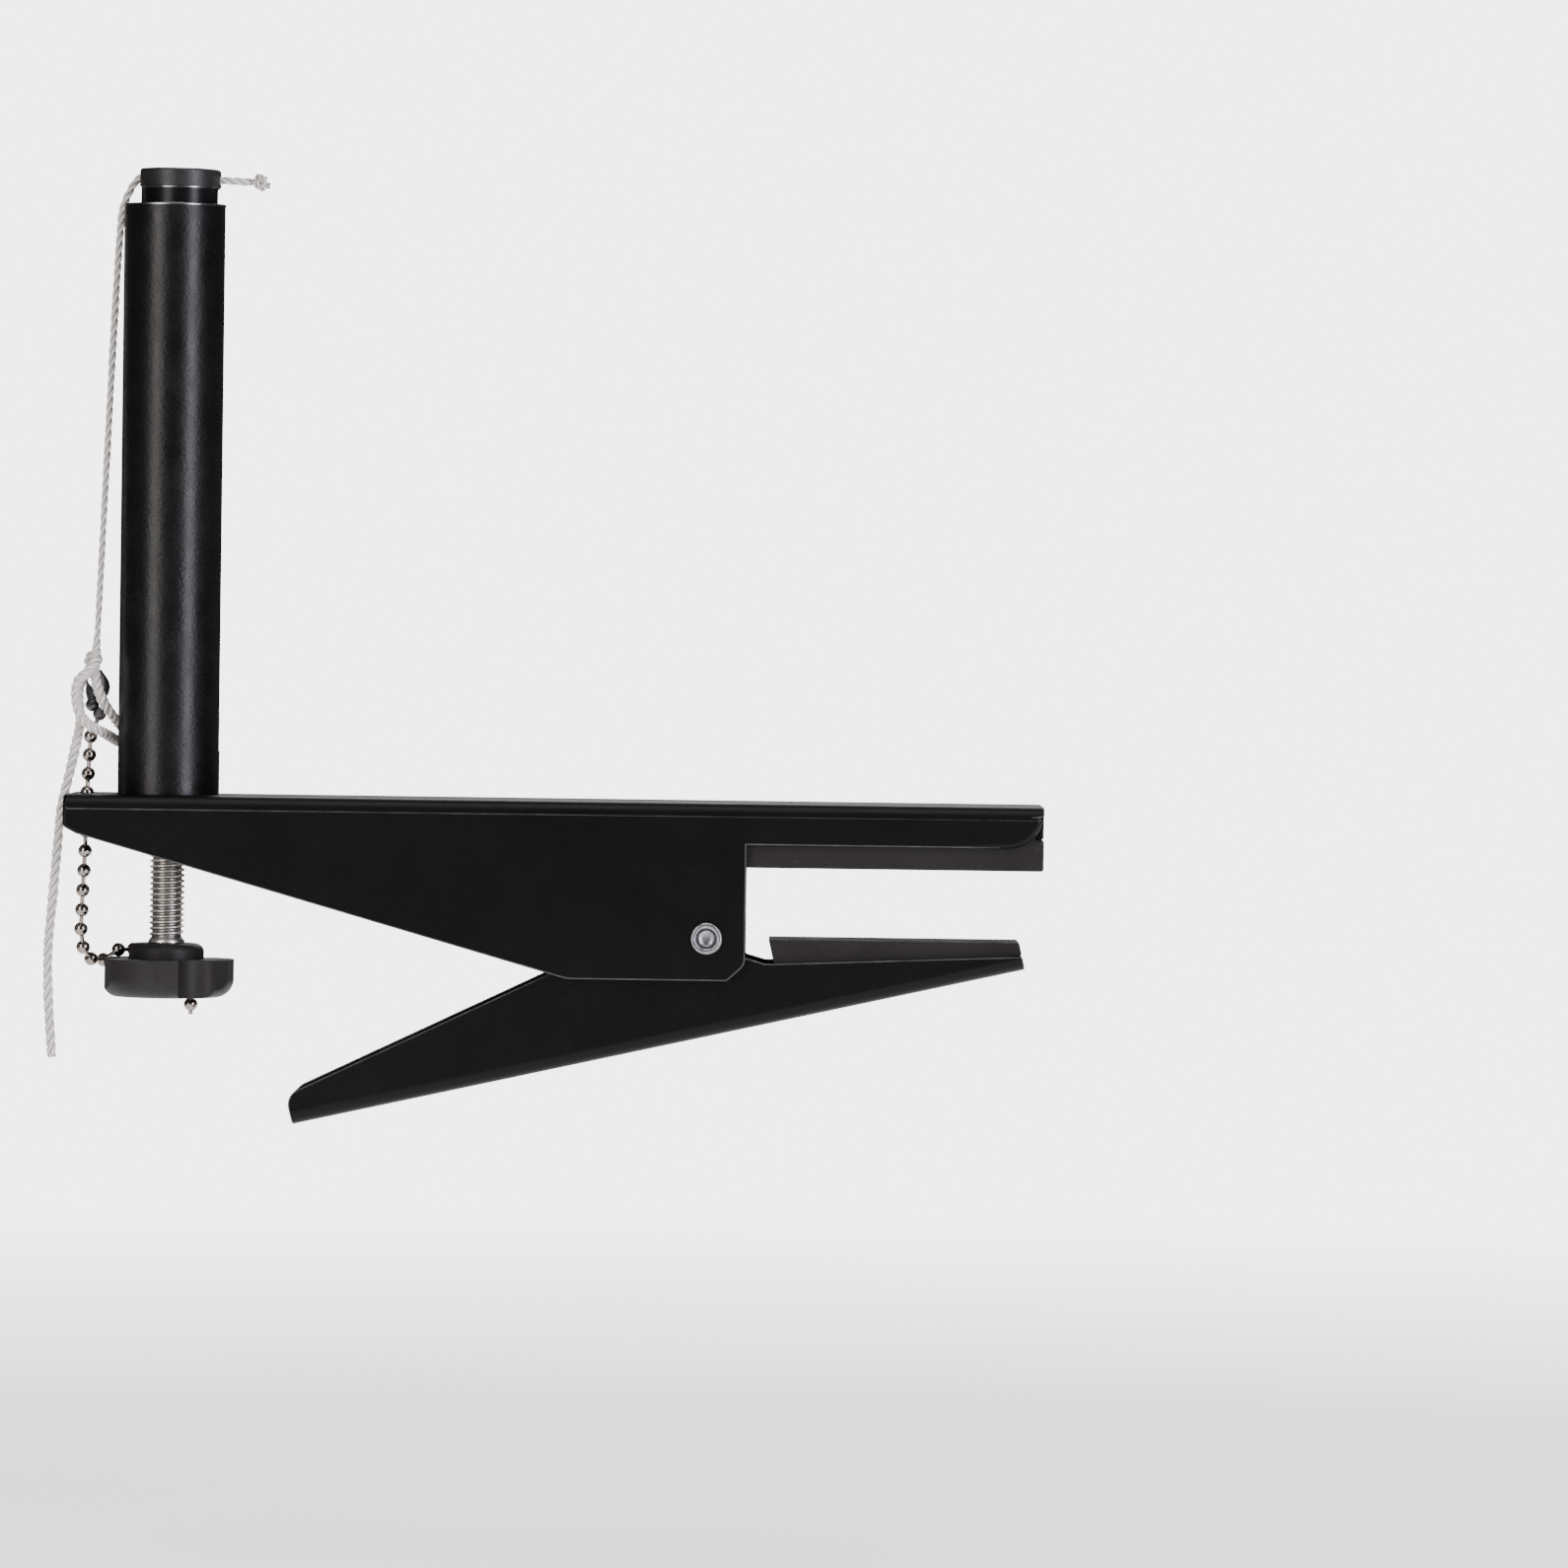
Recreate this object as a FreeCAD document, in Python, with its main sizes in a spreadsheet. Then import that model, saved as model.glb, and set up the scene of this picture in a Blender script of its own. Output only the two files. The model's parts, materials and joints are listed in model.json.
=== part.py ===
"""Table tennis net clamp: clamp bracket, sprung lower lever, post with height screw, bead chain and cord.

Millimetres, +Z up. The origin is the corner where the table's edge meets the playing surface. +X runs over
the table towards the net, x = 0 is the table's edge, z = 0 is the playing surface and y = 0 is the middle.
"""

import FreeCAD, Part
import math
import os
import Sketcher

Vector = FreeCAD.Vector

DIMENSIONS = [
    # alias, value, meaning
    ("overhang", 151.3, "table edge to the bracket's outer end"),
    ("jaw_reach", 65.8, "table edge to the jaw's tip"),
    ("web_top", 14.3, "top of the bracket above the playing surface"),
    ("bracket_width", 34.0, "bracket, across"),
    ("sheet", 1.8, "thickness of the pressed steel"),
    ("fold", 3.0, "outer radius of the long folds"),
    ("fold_inside", 1.2, "inner radius of the long folds"),
    ("end_round", 0.8, "rounding of the outer end's edges"),
    ("nose_low", 7.2, "lower corner of the outer end"),
    ("nose_round", 1.3, "radius of that corner"),
    ("nose_x", -148.4, "start of the sloping lower edge"),
    ("nose_z", 5.65, "height of that start"),
    ("belly_x", -39.4, "end of the sloping lower edge"),
    ("belly_low", -25.1, "lowest edge of the bracket"),
    ("heel_x", -4.0, "start of the cut corner below the pivot"),
    ("heel_z", -21.5, "end of the cut corner below the pivot"),
    ("jaw_edge", 5.1, "lower edge of the jaw's flanges"),
    ("jaw_corner", 8.0, "radius of the jaw tip's lower corner"),
    ("belly_round", 10.0, "radius where the slope meets the lowest edge"),
    ("heel_round", 3.0, "radius of the cut corner's ends"),
    ("tab_low", 7.1, "lower end of the tab at the jaw's tip"),
    ("tab_width", 25.0, "width of that tab"),
    ("pad_start", -0.4, "upper pad's end, just behind the table's edge"),
    ("pad_step", 7.0, "height of the upper pad's protruding part"),
    ("pad_gap", 0.1, "play around the rubber pads"),
    ("pad_bevel", 1.4, "bevel of the upper pad's top edges"),
    ("cut_through", 200.0, "length of the cuts that go right through"),
    ("pivot_x", -8.6, "pivot, along"),
    ("pivot_z", -15.7, "pivot, up"),
    ("rivet_radius", 3.0, "rivet's shank"),
    ("rivet_rim", 3.6, "rivet's rolled rim"),
    ("rivet_rim_depth", 1.0, "rivet's rolled rim, proud of the flange"),
    ("rim_round", 0.3, "rounding of that rim"),
    ("rivet_dish", 2.2, "radius of the rivet's hollow end"),
    ("rivet_dish_depth", 1.5, "depth of the rivet's hollow end"),
    ("rivet_head", 5.0, "rivet's head at the back"),
    ("rivet_head_depth", 1.6, "thickness of that head"),
    ("sleeve_radius", 4.5, "outside of the sleeve that the lever turns on"),
    ("running", 0.05, "radial play of a turning fit"),
    ("washer_radius", 8.0, "outside of the nylon washers"),
    ("washer_thick", 0.4, "thickness of the nylon washers"),
    ("lever_width", 29.4, "lever, across"),
    ("lever_length", 166.0, "lever, end to end along its web"),
    ("lever_x", -99.9, "lower corner of the handle's end, along"),
    ("lever_z", -58.3, "lower corner of the handle's end, up"),
    ("lever_rise", 0.22536, "slope of the lever's web"),
    ("handle_end", 6.7, "flange height at the handle's end"),
    ("ear_edge", 106.0, "table side of the ear round the pivot"),
    ("ear_top", 30.94, "flange height where the ear ends"),
    ("ear_round", 7.4, "radius of the ear"),
    ("ear_foot", 15.4, "flange height below the ear"),
    ("ear_foot_along", 110.0, "start of the jaw's flange"),
    ("jaw_flange", 13.2, "flange height at the jaw's start"),
    ("jaw_tip", 3.0, "flange height at the jaw's tip"),
    ("handle_round", 3.6, "radius of the handle end's corner"),
    ("grip_start", 111.8, "lower pad's end near the pivot"),
    ("grip_back", 18.15, "lower pad's height there"),
    ("grip_lip", 0.4, "lower pad's lip above the jaw's end wall"),
    ("wire_radius", 0.9, "spring wire"),
    ("coil_radius", 6.2, "spring coil, middle of the wire"),
    ("coil_pitch", 2.05, "spring coil, per turn"),
    ("coil_turns", 8.0, "whole turns of the spring"),
    ("upper_leg_x", -37.0, "end of the spring's upper leg, along"),
    ("lower_leg_along", 64.0, "end of the spring's lower leg, along the lever's web"),
    ("leg_play", 0.1, "play between a spring leg and its web"),
    ("post_x", -129.1, "post and screw axis"),
    ("tube_radius", 11.3, "post tube, outside"),
    ("tube_wall", 1.4, "post tube, wall"),
    ("tube_top", 145.6, "post tube, top end"),
    ("tube_slot", 5.0, "width of the slot that the net leaves through"),
    ("tube_slot_low", 24.0, "lower end of that slot"),
    ("nut_hole", 6.0, "hole under the post, and the foot nut's neck"),
    ("nut_peen", 7.5, "foot nut's peened rim"),
    ("nut_low", 9.0, "lower end of the foot nut"),
    ("nut_high", 20.9, "upper end of the foot nut"),
    ("foot_z", 26.0, "lower end of the inner post"),
    ("inner_radius", 8.7, "inner post"),
    ("inner_length", 123.5, "inner post, end to end"),
    ("inner_lean", 0.5, "lean of the inner post towards the net, in degrees"),
    ("rod_groove", 5.8, "width of the groove for the net's rod"),
    ("rod_groove_floor", 3.4, "floor of that groove, from the axis"),
    ("rod_groove_low", 16.0, "lower end of that groove, above the foot"),
    ("cap_radius", 9.1, "post cap"),
    ("cap_thick", 3.9, "post cap, thickness"),
    ("cap_slot", 3.6, "width of the cap's cord slot"),
    ("cap_slot_floor", 0.3, "slot floor above the cap's underside"),
    ("cap_round", 0.6, "rounding of the cap's edges"),
    ("stem_radius", 2.5, "cap's stem"),
    ("stem_length", 10.0, "cap's stem, length"),
    ("spigot_bore", 3.2, "bore in the inner post's foot"),
    ("spigot_bore_depth", 14.0, "depth of that bore"),
    ("screw_radius", 3.95, "height screw, M8"),
    ("screw_low", -30.4, "lower end of the height screw"),
    ("screw_shoulder", 24.95, "shoulder that carries the post"),
    ("spigot_radius", 3.0, "screw's plain tip"),
    ("spigot_top", 39.0, "end of that tip"),
    ("neck_radius", 2.2, "groove in the tip"),
    ("neck_low", 30.0, "lower side of that groove"),
    ("neck_high", 32.0, "upper side of that groove"),
    ("guide_radius", 1.25, "guide screw's shank"),
    ("guide_head", 2.35, "guide screw's head, in the tube's slot"),
    ("guide_tip", 0.85, "guide screw's tip, in the screw's groove"),
    ("guide_play", 0.15, "radial play of the guide screw's hole"),
    ("thrust_inner", 3.3, "thrust washer, inside"),
    ("thrust_outer", 7.0, "thrust washer, outside"),
    ("thrust_thick", 0.9, "thrust washer, thickness"),
    ("knob_radius", 15.1, "knob's wings"),
    ("knob_low", -30.9, "knob's underside"),
    ("knob_shelf", -22.4, "top of the knob's wings"),
    ("hub_radius", 8.4, "knob's hub"),
    ("hub_top", -18.9, "top of the knob's hub"),
    ("hub_round", 2.0, "rounding of the hub's top"),
    ("wing_round", 4.2, "rounding of the wings' lower edge"),
    ("notch_radius", 5.0, "hollows between the wings"),
    ("notch_x", 8.5, "first hollow's centre, along"),
    ("notch_y", -12.84, "first hollow's centre, across"),
    ("facet_x", -0.5, "flat beside the first hollow: its outer end, along"),
    ("facet_y", -15.09, "the same end, across"),
    ("facet_end_x", 3.9, "its end in the hollow, along"),
    ("facet_end_y", -13.91, "the same end, across"),
    ("far_facet_x", 14.085, "flat on the hollow's other side: its outer end, along"),
    ("far_facet_y", -5.437, "the same end, across"),
    ("far_facet_end_x", 11.279, "its end in the hollow, along"),
    ("far_facet_end_y", -9.026, "the same end, across"),
    ("knob_clear", 2.0, "how far a cutting shape reaches past the wings"),
    ("nut_flat", 6.5, "half the hex nut's width across flats"),
    ("nut_corner", 7.506, "hex nut's corner"),
    ("nut_thick", 6.6, "hex nut, thickness"),
    ("bead_radius", 1.48, "chain's beads"),
    ("link_radius", 0.42, "wire between the beads"),
    ("chain_x", -147.2, "chain's hole in the bracket"),
    ("chain_hole", 1.9, "radius of that hole"),
    ("chain_slot", 1.0, "half the width of its locking slot"),
    ("chain_slot_end", -141.6, "end of that slot"),
    ("cord_taut", 0.75, "radius of the cord where it is pulled tight"),
    ("cord_slack", 1.2, "radius of the cord where it is slack"),
    ("stopper_radius", 2.3, "stopper knot"),
    ("stopper_x", -110.2, "stopper knot, along"),
    ("stopper_z", 150.7, "stopper knot, up"),
]

# Two lengths closer than this count as equal.
CLOSE = 0.02
# Wires that leave a bead more nearly opposite than this count as one straight line.
STRAIGHT = 0.05
# Any direction that no wire follows.
SKEW = Vector(0.31, 0.87, 0.38)
# Clear space between a bead and the end of the next body's wire.
BEAD_CLEAR = 0.06

# The chain's bead centres (x, y, z), from the cord's loop down to the free end.
CHAIN_TIE = [
    (-142.0, 6.4, 34.2),
    (-143.3, 5.6, 38.3),
    (-145.2, 7.0, 42.0),
    (-146.7, 6.2, 38.2),
    (-146.6, 4.8, 34.1),
    (-145.3, 2.9, 30.6),
    (-146.6, 0.8, 26.9),
    (-146.8, 0.1, 22.8),
    (-147.0, 0.0, 18.6),
    (-147.2, 0.0, 14.4),
    (-147.3, 0.0, 10.1),
]
CHAIN_DROP = [
    (-147.4, 0.0, 5.8),
    (-147.5, 0.0, 1.4),
    (-147.7, 0.1, -3.0),
    (-147.9, 0.3, -7.4),
    (-148.1, 0.6, -11.8),
    (-148.3, 1.2, -16.1),
    (-147.9, 2.8, -20.2),
    (-146.3, 6.0, -22.9),
]
CHAIN_TAIL = [
    (-143.8, 9.5, -23.2),
    (-140.3, 7.3, -20.8),
    (-137.1, 10.2, -20.8),
    (-133.1, 11.9, -20.8),
    (-129.0, 13.0, -20.8),
    (-125.9, 15.7, -21.1),
    (-125.0, 17.7, -25.0),
    (-124.7, 17.9, -29.2),
    (-124.7, 17.9, -33.3),
]

# The cord's route (x, y, z): taut from the cap down to the knot, then the slack loop and tail.
CORD_RUN = [
    (-112.55, 0.0, 150.75),
    (-138.2, 0.0, 151.7),
    (-141.5, 0.0, 146.2),
    (-145.35, 0.0, 49.2),
]
CORD_TAIL = [
    (-145.36, 0.0, 49.0),
    (-145.7, 0.0, 45.5),
    (-145.9, 0.2, 41.5),
    (-145.2, 0.3, 37.5),
    (-143.0, 1.0, 33.4),
    (-141.0, 4.5, 30.0),
    (-139.2, 10.0, 28.2),
    (-140.6, 9.8, 25.0),
    (-142.4, 4.0, 26.4),
    (-144.6, -1.8, 28.5),
    (-148.0, -3.0, 30.2),
    (-150.9, -2.6, 34.0),
    (-150.9, -1.8, 38.8),
    (-148.4, -1.8, 42.3),
    (-144.9, -2.9, 44.0),
    (-143.2, -0.3, 44.9),
    (-144.6, 2.6, 45.2),
    (-147.6, 2.6, 44.4),
    (-149.3, 2.0, 41.0),
    (-149.7, 1.6, 36.5),
    (-149.2, 1.2, 31.8),
    (-149.6, 0.9, 27.2),
    (-150.5, 0.6, 22.4),
    (-151.9, 0.3, 17.9),
    (-154.3, 0.1, 12.6),
    (-154.9, 0.0, 6.0),
    (-155.0, 0.0, -2.5),
    (-155.5, 0.1, -11.5),
    (-155.8, 0.0, -20.5),
    (-155.6, -0.2, -29.5),
    (-154.9, 0.0, -37.0),
    (-154.3, 0.2, -44.6),
]

document = FreeCAD.newDocument("net_clamp")
sheet = document.addObject("Spreadsheet::Sheet", "dims")
size = {}
subparts = []


def fill_sheet():
    """Writes each dimension and its meaning into the sheet, and keeps its value for first drafts."""
    for row, (alias, value, meaning) in enumerate(DIMENSIONS, start=1):
        sheet.set(f"A{row}", meaning)
        sheet.set(f"B{row}", str(value))
        sheet.setAlias(f"B{row}", alias)
        size[alias] = value
    document.recompute()


def terms(text):
    """Splits a sum such as "web_top - 2*sheet" into (sign, factors) pairs."""
    sign = "+"
    found = []
    for word in text.split():
        if word in ("+", "-"):
            sign = word
            continue
        if word.startswith("-"):
            sign = "-"
            word = word[1:]
        found.append((sign, word.split("*")))
        sign = "+"
    return found


def number(text):
    """The value of a sum of sheet dimensions and plain numbers."""
    total = 0.0
    for sign, factors in terms(text):
        product = 1.0
        for factor in factors:
            product *= size[factor] if factor in size else float(factor)
        total += product if sign == "+" else -product
    return total


def bound(text):
    """The same sum as an expression that reads the sheet."""
    parts = []
    for sign, factors in terms(text):
        named = [f"dims.{factor}" if factor in size else factor for factor in factors]
        parts.append(sign + " * ".join(named))
    return " ".join(parts)


def start_body(label, along="0", up="0"):
    """A new PartDesign body for one sub-part, moved to where its own axis or corner lies."""
    body = document.addObject("PartDesign::Body", label)
    body.Label = label
    body.Placement.Base = Vector(number(along), 0, number(up))
    body.setExpression("Placement.Base.x", bound(along))
    body.setExpression("Placement.Base.z", bound(up))
    subparts.append(body)
    return body


def blank_sketch(body, name, plane_role):
    drawing = body.newObject("Sketcher::SketchObject", name)
    plane = next(item for item in body.Origin.OriginFeatures if item.Role == plane_role)
    drawing.AttachmentSupport = [(plane, "")]
    drawing.MapMode = "FlatFace"
    return drawing


def outline(body, name, plane_role, corners):
    """A closed outline with straight sides, each corner held at two distances from the origin."""
    drawing = blank_sketch(body, name, plane_role)
    places = [Vector(number(across), number(up), 0) for across, up in corners]
    for start, end in zip(places, places[1:] + places[:1]):
        drawing.addGeometry(Part.LineSegment(start, end), False)
    for side in range(len(corners)):
        drawing.addConstraint(Sketcher.Constraint("Coincident", side, 2, (side + 1) % len(corners), 1))
    for side, corner in enumerate(corners):
        for kind, text in zip(("DistanceX", "DistanceY"), corner):
            held = drawing.addConstraint(Sketcher.Constraint(kind, -1, 1, side, 1, number(text)))
            drawing.setExpression(f"Constraints[{held}]", bound(text))
    return drawing


def rectangle(body, name, plane_role, low, high):
    corners = [(low[0], low[1]), (high[0], low[1]), (high[0], high[1]), (low[0], high[1])]
    return outline(body, name, plane_role, corners)


def circle(body, name, plane_role, across, up, radius):
    drawing = blank_sketch(body, name, plane_role)
    middle = Vector(number(across), number(up), 0)
    drawing.addGeometry(Part.Circle(middle, Vector(0, 0, 1), number(radius)), False)
    for kind, text in (("DistanceX", across), ("DistanceY", up)):
        held = drawing.addConstraint(Sketcher.Constraint(kind, -1, 1, 0, 3, number(text)))
        drawing.setExpression(f"Constraints[{held}]", bound(text))
    held = drawing.addConstraint(Sketcher.Constraint("Radius", 0, number(radius)))
    drawing.setExpression(f"Constraints[{held}]", bound(radius))
    return drawing


def feature(body, kind, name, drawing, length):
    """A pad or pocket that reaches half its length to each side of the sketch."""
    made = body.newObject(f"PartDesign::{kind}", name)
    made.Profile = drawing
    made.Midplane = True
    made.setExpression("Length", bound(length))
    document.recompute()
    return made


def pad(body, name, drawing, length):
    return feature(body, "Pad", name, drawing, length)


def pocket(body, name, drawing, length):
    before = body.Tip.Shape.Volume
    made = feature(body, "Pocket", name, drawing, length)
    if made.Shape.Volume >= before:
        raise RuntimeError(f"{name} cuts nothing from {body.Label}")
    return made


def revolve(body, name, drawing, axis="V_Axis"):
    made = body.newObject("PartDesign::Revolution", name)
    made.Profile = drawing
    made.ReferenceAxis = (drawing, [axis])
    made.Angle = 360.0
    document.recompute()
    return made


def edges_where(base, test):
    found = []
    for index, edge in enumerate(base.Shape.Edges, start=1):
        if test(edge):
            found.append(f"Edge{index}")
    if not found:
        raise RuntimeError(f"no edge of {base.Name} passes its test")
    return found


def round_off(body, name, radius, test, kind="Fillet"):
    """Rounds or bevels the edges of the body's last feature that pass a test."""
    base = body.Tip
    made = body.newObject(f"PartDesign::{kind}", name)
    made.Base = (base, edges_where(base, test))
    made.setExpression("Radius" if kind == "Fillet" else "Size", bound(radius))
    document.recompute()
    return made


def near(value, text):
    return abs(value - number(text)) < CLOSE


def runs_across(edge):
    return edge.BoundBox.XLength < CLOSE and edge.BoundBox.ZLength < CLOSE


def runs_along(edge):
    box = edge.BoundBox
    return box.YLength < CLOSE and box.ZLength < CLOSE and box.XLength > 1


def across_at(along, up):
    """Picks the edge that crosses the body at one corner of its side view."""

    def test(edge):
        box = edge.BoundBox
        return runs_across(edge) and near(box.XMin, along) and near(box.ZMin, up)

    return test


def ring_at(radius, height):
    """Picks the round edge at one radius and height about the body's own vertical axis."""

    def test(edge):
        box = edge.BoundBox
        level = box.ZLength < CLOSE and near(box.ZMin, height)
        return level and abs(box.XLength - 2 * number(radius)) < 2 * CLOSE

    return test


def make_upper_bracket():
    """Pressed steel channel, open downwards: web, two flanges, closed outer end, tab at the jaw's tip."""
    body = start_body("upper_bracket")
    side = outline(
        body,
        "bracket_side",
        "XZ_Plane",
        [
            ("-overhang", "web_top"),
            ("-overhang", "nose_low"),
            ("nose_x", "nose_z"),
            ("belly_x", "belly_low"),
            ("heel_x", "belly_low"),
            ("0", "heel_z"),
            ("0", "jaw_edge"),
            ("jaw_reach", "jaw_edge"),
            ("jaw_reach", "web_top"),
        ],
    )
    pad(body, "bracket_block", side, "bracket_width")
    round_off(body, "jaw_tip_corner", "jaw_corner", across_at("jaw_reach", "jaw_edge"))
    round_off(body, "belly_corner", "belly_round", across_at("belly_x", "belly_low"))
    round_off(body, "heel_corner", "heel_round", across_at("0", "heel_z"))
    round_off(body, "nose_corner", "nose_round", across_at("-overhang", "nose_low"))

    round_off(body, "folds", "fold", lambda edge: runs_along(edge) and near(edge.BoundBox.ZMin, "web_top"))

    def end_edge(edge):
        box = edge.BoundBox
        on_end = near(box.XMin, "-overhang") and near(box.XMax, "-overhang")
        return on_end and box.ZMax > number("nose_low") + 1

    round_off(body, "end_wall_rounds", "end_round", end_edge)
    hollow = rectangle(
        body,
        "bracket_hollow",
        "XZ_Plane",
        ("-overhang + sheet", "belly_low - 20"),
        ("jaw_reach + 10", "web_top - sheet"),
    )
    pocket(body, "bracket_inside", hollow, "bracket_width - 2*sheet")
    round_off(
        body,
        "inner_folds",
        "fold_inside",
        lambda edge: runs_along(edge) and near(edge.BoundBox.ZMin, "web_top - sheet") and edge.Length > 100,
    )
    tab = rectangle(
        body,
        "tab_side",
        "XZ_Plane",
        ("jaw_reach - sheet", "tab_low"),
        ("jaw_reach", "web_top - 1"),
    )
    pad(body, "tip_tab", tab, "tab_width")
    post_ring = circle(body, "post_hole_ring", "XY_Plane", "post_x", "0", "nut_hole")
    pocket(body, "post_hole", post_ring, "cut_through")
    chain_ring = circle(body, "chain_hole_ring", "XY_Plane", "chain_x", "0", "chain_hole")
    pocket(body, "chain_hole", chain_ring, "cut_through")
    slot = rectangle(
        body,
        "chain_slot_plan",
        "XY_Plane",
        ("chain_x", "-chain_slot"),
        ("chain_slot_end", "chain_slot"),
    )
    pocket(body, "chain_slot", slot, "cut_through")
    rivet_ring = circle(body, "rivet_ring", "XZ_Plane", "pivot_x", "pivot_z", "rivet_radius")
    pocket(body, "rivet_holes", rivet_ring, "cut_through")


def make_upper_jaw_pad():
    """Rubber pad that fills the jaw's channel and stands proud of its flanges."""
    body = start_body("upper_jaw_pad")
    side = outline(
        body,
        "pad_side",
        "XZ_Plane",
        [
            ("pad_start", "0"),
            ("jaw_reach", "0"),
            ("jaw_reach", "pad_step"),
            ("jaw_reach - sheet - pad_gap", "pad_step"),
            ("jaw_reach - sheet - pad_gap", "web_top - sheet"),
            ("pad_start", "web_top - sheet"),
        ],
    )
    pad(body, "pad_block", side, "bracket_width - 2*sheet - 2*pad_gap")

    def top_long(edge):
        return runs_along(edge) and near(edge.BoundBox.ZMin, "web_top - sheet")

    round_off(body, "pad_bevels", "pad_bevel", top_long, kind="Chamfer")


def make_pivot():
    """Rivet, sleeve and washers on the pivot, turned about the Y axis."""
    rivet = start_body("pivot_rivet", "pivot_x", "pivot_z")
    profile = outline(
        rivet,
        "rivet_profile",
        "XY_Plane",
        [
            ("0", "-0.5*bracket_width - rivet_rim_depth + rivet_dish_depth"),
            ("rivet_dish", "-0.5*bracket_width - rivet_rim_depth + rivet_dish_depth"),
            ("rivet_dish", "-0.5*bracket_width - rivet_rim_depth"),
            ("rivet_rim", "-0.5*bracket_width - rivet_rim_depth"),
            ("rivet_rim", "-0.5*bracket_width"),
            ("rivet_radius", "-0.5*bracket_width"),
            ("rivet_radius", "0.5*bracket_width"),
            ("rivet_head", "0.5*bracket_width"),
            ("rivet_head", "0.5*bracket_width + rivet_head_depth"),
            ("0", "0.5*bracket_width + rivet_head_depth"),
        ],
    )
    revolve(rivet, "rivet_turned", profile)

    def rim_edge(edge):
        box = edge.BoundBox
        return box.YLength < CLOSE and box.YMin < -number("0.5*bracket_width + 0.5*rivet_rim_depth")

    round_off(rivet, "rolled_rim", "rim_round", rim_edge)

    sleeve = start_body("pivot_sleeve", "pivot_x", "pivot_z")
    wall = rectangle(
        sleeve,
        "sleeve_profile",
        "XY_Plane",
        ("rivet_radius", "sheet - 0.5*bracket_width"),
        ("sleeve_radius", "0.5*bracket_width - sheet"),
    )
    revolve(sleeve, "sleeve_turned", wall)

    front_washer = "0.5*sheet - 0.25*bracket_width - 0.25*lever_width - 0.5*washer_thick"
    back_washer = "0.25*bracket_width - 0.5*sheet + 0.25*lever_width - 0.5*washer_thick"
    for label, low in (("pivot_washer_front", front_washer), ("pivot_washer_back", back_washer)):
        body = start_body(label, "pivot_x", "pivot_z")
        wall = rectangle(
            body,
            f"{label}_profile",
            "XY_Plane",
            ("sleeve_radius + running", low),
            ("washer_radius", f"{low} + washer_thick"),
        )
        revolve(body, f"{label}_turned", wall)


def lever_angle():
    return math.degrees(math.atan(size["lever_rise"]))


def lean_with_lever(body):
    """Turns a body modelled level along +X to the lever's slope, about its lower outer corner."""
    body.Placement = FreeCAD.Placement(
        Vector(size["lever_x"], 0, size["lever_z"]),
        FreeCAD.Rotation(Vector(0, 1, 0), -lever_angle()),
    )


def pivot_in_lever():
    """The pivot, seen from the lever's lower outer corner, along and square to its web."""
    along = size["pivot_x"] - size["lever_x"]
    up = size["pivot_z"] - size["lever_z"]
    angle = math.radians(lever_angle())
    return (
        along * math.cos(angle) + up * math.sin(angle),
        up * math.cos(angle) - along * math.sin(angle),
    )


def make_lower_lever():
    """Pressed steel channel, open upwards: handle on the outside, lower jaw under the table."""
    body = start_body("lower_lever", "lever_x", "lever_z")
    side = outline(
        body,
        "lever_side",
        "XZ_Plane",
        [
            ("0", "0"),
            ("lever_length", "0"),
            ("lever_length", "jaw_tip"),
            ("ear_foot_along", "jaw_flange"),
            ("ear_edge", "ear_foot"),
            ("ear_edge", "ear_top"),
            ("0", "handle_end"),
        ],
    )
    pad(body, "lever_block", side, "lever_width")

    def shifted(along, up):
        def test(edge):
            box = edge.BoundBox
            return runs_across(edge) and near(box.XMin, along) and near(box.ZMin, up)

        return test

    round_off(body, "ear", "ear_round", shifted("ear_edge", "ear_top"))
    round_off(body, "handle_corner", "handle_round", shifted("0", "handle_end"))

    def lower_fold(edge):
        return runs_along(edge) and near(edge.BoundBox.ZMin, "0")

    round_off(body, "lever_folds", "fold", lower_fold)
    hollow = rectangle(
        body,
        "lever_hollow",
        "XZ_Plane",
        ("sheet", "sheet"),
        ("lever_length - sheet", "ear_top + 10"),
    )
    pocket(body, "lever_inside", hollow, "lever_width - 2*sheet")
    round_off(
        body,
        "lever_inner_folds",
        "fold_inside",
        lambda edge: runs_along(edge) and near(edge.BoundBox.ZMin, "sheet") and edge.Length > 100,
    )
    along, up = pivot_in_lever()
    holes = circle(body, "pivot_ring", "XZ_Plane", f"{along:.4f}", f"{up:.4f}", "sleeve_radius + running")
    pocket(body, "pivot_holes", holes, "cut_through")
    lean_with_lever(body)


def make_lower_jaw_pad():
    """Rubber wedge in the lower jaw, with its top parallel to the table."""
    body = start_body("lower_jaw_pad", "lever_x", "lever_z")
    tip_top = "grip_back - lever_length*lever_rise + grip_start*lever_rise"
    side = outline(
        body,
        "grip_side",
        "XZ_Plane",
        [
            ("grip_start", "sheet"),
            ("lever_length - sheet - pad_gap", "sheet"),
            ("lever_length - sheet - pad_gap", "jaw_tip + grip_lip"),
            ("lever_length", "jaw_tip + grip_lip"),
            ("lever_length", tip_top),
            ("grip_start", "grip_back"),
        ],
    )
    pad(body, "grip_block", side, "lever_width - 2*sheet - 2*pad_gap")

    def lower_long(edge):
        return runs_along(edge) and near(edge.BoundBox.ZMin, "sheet")

    round_off(body, "grip_bevels", "pad_bevel", lower_long, kind="Chamfer")
    lean_with_lever(body)


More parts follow.
